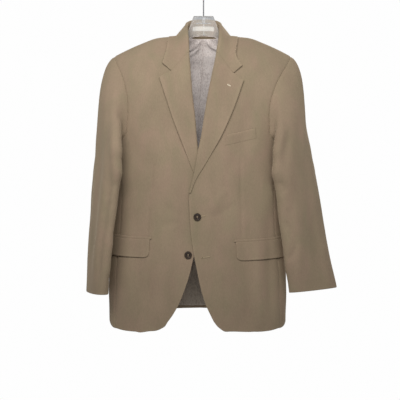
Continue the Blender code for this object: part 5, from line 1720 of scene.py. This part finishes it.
def faux_suede():
    """Brushed microfibre suede: a mottled nap that goes from olive to pinkish tan, dull and velvety."""
    look, tree, shader, place = start(
        "brushed_faux_suede",
        {"Roughness": 0.94, "Sheen Weight": 0.35, "Sheen Roughness": 0.55, "Specular IOR Level": 0.22},
    )
    # The fine fibres' ends catch light from the side, warmer than the cloth: the velvety rim of each fold
    shader.inputs["Sheen Tint"].default_value = linear("#d8c6ac")
    # Patches 40 to 70 mm wide, where the nap was stroked another way
    fall = drawn_out(tree, place, 0.45)
    patch = noise(tree, fall, Scale=16.0, Detail=3.0, Roughness=0.55)
    warm = noise(tree, fall, Scale=24.0, Detail=2.0, Distortion=0.6)
    hue = between(tree, warm, 0.22, 0.78, NAP_OLIVE, NAP_ROSE)
    # Brush strokes some 5 mm long, down the cloth
    stroke = noise(tree, drawn_out(tree, place, 0.35), Scale=420.0, Detail=3.0)
    # Single tufts of the nap, 0.8 mm, coarser than the real 0.2 mm so that they survive a render
    tuft = noise(tree, place, Scale=1300.0, Detail=2.0, Roughness=0.7)
    # Along the edges that are not sewn the nap is brushed lighter
    worn = add(tree, "Attribute", attribute_name="worn").outputs["Fac"]
    shade = product(
        tree,
        ranged(tree, patch, 0.3, 0.7, 0.935, 1.065),
        ranged(tree, stroke, 0.3, 0.7, 0.95, 1.05),
        ranged(tree, tuft, 0.3, 0.7, 0.90, 1.10),
        ranged(tree, worn, 0.0, 1.0, 1.0, 1.09),
    )
    toned = add(tree, "VectorMath", {0: hue, "Scale": shade}, operation="SCALE")
    tree.links.new(toned.outputs[0], shader.inputs["Base Color"])
    rough = raised(tree, tuft, 0.35, 0.0004)
    tree.links.new(raised(tree, stroke, 0.30, 0.0008, rough), shader.inputs["Normal"])
    return look


def satin_lining():
    """Woven satin lining: a smooth grey mauve with small tonal cells, a satin gloss and painted shade
    below the waist.
    """
    look, tree, shader, place = start(
        "satin_lining",
        {"Roughness": 0.42, "Sheen Weight": 0.15, "Specular IOR Level": 0.45, "Anisotropic": 0.3},
    )
    # Irregular cells about 5 mm across with paler veins 0.8 mm wide, drawn out down the cloth
    longer = drawn_out(tree, place, 0.6)
    bend = add(tree, "TexNoise", {"Vector": longer, "Scale": 170.0, "Detail": 2.0}).outputs["Color"]
    shift = add(tree, "VectorMath", {0: bend, "Scale": 0.010}, operation="SCALE")
    bent = add(tree, "VectorMath", {0: longer, 1: shift.outputs[0]}, operation="ADD")
    wires = {"Vector": bent.outputs[0], "Scale": 200.0}
    cell = add(tree, "TexVoronoi", wires, feature="DISTANCE_TO_EDGE").outputs["Distance"]
    vein = ranged(tree, cell, 0.0, 0.18, 1.0, 0.0)
    cloud = noise(tree, place, Scale=30.0, Detail=1.0)
    mixed = add(tree, "Math", {0: vein, 1: 0.6, 2: cloud}, operation="MULTIPLY_ADD").outputs[0]
    tint = between(tree, mixed, 0.35, 0.95, *LINING_TONES)
    # Painted shade: below the waist the lining is darkened towards brown, for the shadow it lies in
    height = add(tree, "SeparateXYZ", {0: place}).outputs["Z"]
    warm = between(tree, ranged(tree, height, *PAINTED_SHADE_HEIGHTS, 0.0, 1.0), 0.0, 1.0, LINING_PAINTED_SHADE, PLAIN)
    tint_with_painted_shade = add(tree, "VectorMath", {0: tint, 1: warm}, operation="MULTIPLY")
    tree.links.new(tint_with_painted_shade.outputs[0], shader.inputs["Base Color"])
    # The threads' grain breaks the gloss, and the veins stand up a little
    weave = raised(tree, noise(tree, place, Scale=900.0, Detail=2.0), 0.2, 0.0002)
    tree.links.new(raised(tree, vein, 0.2, 0.0002, weave), shader.inputs["Normal"])
    return look


# The other finishes: dark tone, light tone, scale of the noise that goes between them, the
# shader's settings, and the strength and distance of the bump
THREAD = {"Roughness": 0.8}
FINISHES = {
    # Undyed tape, dull, with its single threads showing as a fine grain
    "bare_woven_strip": ("#b4ada2", "#c3bcb1", 1500.0, {"Roughness": 0.8}, 0.4, 0.0002),
    # Cast resin in horn's dark brown, streaked, with the wet gloss of a polished button
    "horn_like_resin": ("#1d1511", "#3a2c20", 260.0, {"Roughness": 0.32, "Coat Weight": 0.3}, 0.0, 0.0),
    # Spun threads: dull, and roughened by their twist
    "suede_tone_thread": ("#a08f78", "#b7a68d", 2600.0, THREAD, 0.5, 0.0001),
    "pale_thread": ("#c9bda6", "#ddd2bd", 2600.0, THREAD, 0.5, 0.0001),
    "buttonhole_twist": ("#97866e", "#ab9a80", 2600.0, THREAD, 0.5, 0.0001),
    # The unlit depth of a slit in the cloth: almost black brown, with no gloss
    "shaded_slot": ("#2e271f", "#40372c", 900.0, {"Roughness": 0.95}, 0.0, 0.0),
    # Clear polystyrene: what lies behind shows through, bent at the rims, with sharp small glints
    "clear_moulded_plastic": (
        "#f4f6f8",
        "#ffffff",
        60.0,
        {"Roughness": 0.06, "Transmission Weight": 0.92, "IOR": 1.49},
        0.0,
        0.0,
    ),
    # Plated wire: bright, with the long soft glints of a drawn surface
    "bright_steel_wire": ("#b9babc", "#c9cacc", 700.0, {"Roughness": 0.22, "Metallic": 1.0}, 0.1, 0.00005),
}


def speckled(name):
    """One of the finishes: two tones mixed by a noise, and with it a fine bump."""
    dark, light, scale, sockets, strength, distance = FINISHES[name]
    look, tree, shader, place = start(name, sockets)
    grain = noise(tree, place, Scale=scale, Detail=3.0, Distortion=0.4)
    tree.links.new(between(tree, grain, 0.35, 0.65, dark, light), shader.inputs["Base Color"])
    if strength:
        tree.links.new(raised(tree, grain, strength, distance), shader.inputs["Normal"])
    return look


CAMERA_PLACE = (-0.0095, -2.290, -0.607)
LENS = 76.15
SENSOR = 36.0
WHITE = 0.99  # of the surroundings as the camera sees them
FILL = 0.30  # strength at which they light the coat
# name, place, tilt and turn in degrees, size, spread in degrees, watts, whether it shows in gloss
LAMPS = (
    # Large and near the camera: the photo's shadows are short and soft
    ("soft_box", (-0.10, -1.40, 0.20), 72.5, -3.0, (1.3, 0.6), 100.0, 10.2, False),
    # From the left: models the folds, and gives buttons, hook and hanger their glints
    ("strip_lamp", (-0.90, -1.50, 0.50), 62.0, -31.0, (0.3, 0.8), 180.0, 3.2, True),
    # Lights the back, and only grazes what the camera sees
    ("back_box", (0.60, 1.90, 0.35), 66.0, 162.0, (2.4, 1.2), 100.0, 17.0, False),
)
FLOOR = -1.75
REACH = 2.3  # half breadth of the floor
CLEAR_FROM = 0.5  # distance from which the floor fades
MATT_WHITE = "#f4f4f4"


def studio():
    """White surroundings, soft lamps, a pale floor that fades into the white, and the camera."""
    world = bpy.data.worlds.new("white_studio")
    bpy.context.scene.world = world
    world.use_nodes = True
    tree = world.node_tree
    seen = add(tree, "LightPath").outputs["Is Camera Ray"]
    background = tree.nodes["Background"]
    background.inputs["Color"].default_value = linear(PLAIN)
    tree.links.new(ranged(tree, seen, 0.0, 1.0, FILL, WHITE), background.inputs["Strength"])
    for name, place, tilt, turn, size, spread, energy, sparkle in LAMPS:
        lamp = bpy.data.lights.new(name, "AREA")
        lamp.shape = "RECTANGLE"
        lamp.size, lamp.size_y = size
        lamp.spread = math.radians(spread)
        lamp.energy = energy
        box = bpy.data.objects.new(name, lamp)
        box.location = place
        box.rotation_euler = (math.radians(tilt), 0.0, math.radians(turn))
        box.visible_camera = False
        box.visible_glossy = sparkle
        box.visible_transmission = sparkle
        bpy.context.scene.collection.objects.link(box)
    floor_mesh = bpy.data.meshes.new("studio_floor")
    corners = [(x * REACH, y * REACH, FLOOR) for x, y in ((-1, -1), (1, -1), (1, 1), (-1, 1))]
    floor_mesh.from_pydata(corners, [], [(0, 1, 2, 3)])
    floor = bpy.data.objects.new("studio_floor", floor_mesh)
    bpy.context.scene.collection.objects.link(floor)
    floor.data.materials.append(pale_floor())
    view = bpy.data.cameras.new("camera")
    view.lens = LENS
    view.sensor_width = SENSOR
    view.dof.use_dof = False
    camera = bpy.data.objects.new("camera", view)
    camera.location = CAMERA_PLACE
    camera.rotation_euler = (math.pi / 2, 0.0, 0.0)
    bpy.context.scene.collection.objects.link(camera)
    bpy.context.scene.camera = camera
    bpy.context.scene.view_settings.view_transform = "Standard"


def pale_floor():
    """Matt painted floor, clear round its rim, so that it fades into the surroundings."""
    look, tree, shader, place = start("pale_studio_floor", {"Roughness": 0.9})
    shader.inputs["Base Color"].default_value = linear(MATT_WHITE)
    flat = add(tree, "VectorMath", {0: place, 1: (1.0, 1.0, 0.0)}, operation="MULTIPLY").outputs[0]
    away = add(tree, "VectorMath", {0: flat}, operation="LENGTH").outputs["Value"]
    wires = {"Value": away, "From Min": CLEAR_FROM, "From Max": REACH, "To Min": 1.0, "To Max": 0.0}
    fade = add(tree, "MapRange", wires, interpolation_type="SMOOTHSTEP")
    tree.links.new(fade.outputs["Result"], shader.inputs["Alpha"])
    return look


def panels(side, looks):
    """Front, back and side panel of one side: each lined on its inside, and each with its own seams."""
    # Open edges and sewn edges are marked as in to_edge
    lining_at = {"front": FACING, "back": BACK_FACING, "side": UP_TO_EDGE}
    grids = {"front": front_panel(side), "back": back_panel(side), "side": side_panel(side)}
    charts = {"front": front_chart(side), "back": over, "side": around}
    free = {"front": (1, 0, 1, 0), "back": (1, 0, 0, 0), "side": (1, 0, 0, 0)}
    sewn = {"front": (0, 1, 0, 1), "back": (0, 1, 0, 1), "side": (0, 1, 1, 1)}
    for kind, grid in grids.items():
        name = kind + "_" + side
        on_chart(
            "suede_" + name,
            name,
            "suede",
            charts[kind],
            grid,
            -CLOTH / 2,
            CLOTH,
            looks,
            (TURN_UP, lining_at[kind], UP_TO_EDGE),
            FRONT_CELL if kind == "front" else PANEL_CELL,
            free=free[kind],
            sewn=sewn[kind],
            lap=SIDE_LAP if kind == "side" else LAP,
        )


def main():
    """Builds every piece, and the studio."""
    suede = faux_suede()
    lining = satin_lining()
    finish = {name: speckled(name) for name in FINISHES}
    slot = finish["shaded_slot"]
    for side in ("left", "right"):
        panels(side, [suede, lining])
        sleeve(side, [suede, lining])
        names = ("suede_lapel_" + side, "lapel_" + side, "suede")
        from_middle(*names, lapel_grid(side), LAPEL_THICK, [suede], LAPEL_CELL, stand_off=STAND_OFF)
        names = ("satin_lining_back_" + side, "lining_back_" + side, "lining")
        drop = -(CLOTH + LINING_GAP + LINING / 2)
        way = {"cell": LINING_CELL, "more": lining_relief}
        on_chart(*names, over, lining_back(side), drop, LINING, [lining], **way)
        hip_pocket(side, [suede])
    breast_welt([suede])
    pocket_mouth(slot)
    collar = np.concatenate((collar_half("right")[:0:-1], collar_half("left")))
    names = ("suede_collar", "collar", "suede")
    from_middle(*names, collar, LAPEL_THICK, [suede], LAPEL_CELL, stand_off=STAND_OFF)
    neck_label(collar, [finish["bare_woven_strip"]])
    for name in BUTTONS:
        button(name, [finish["horn_like_resin"]], finish["suede_tone_thread"])
    for name in BUTTONHOLES:
        buttonhole(name, finish["pale_thread" if name == "lapel" else "buttonhole_twist"], slot)
    hanger_body([finish["clear_moulded_plastic"]])
    hanger_hook([finish["bright_steel_wire"]])
    studio()


main()
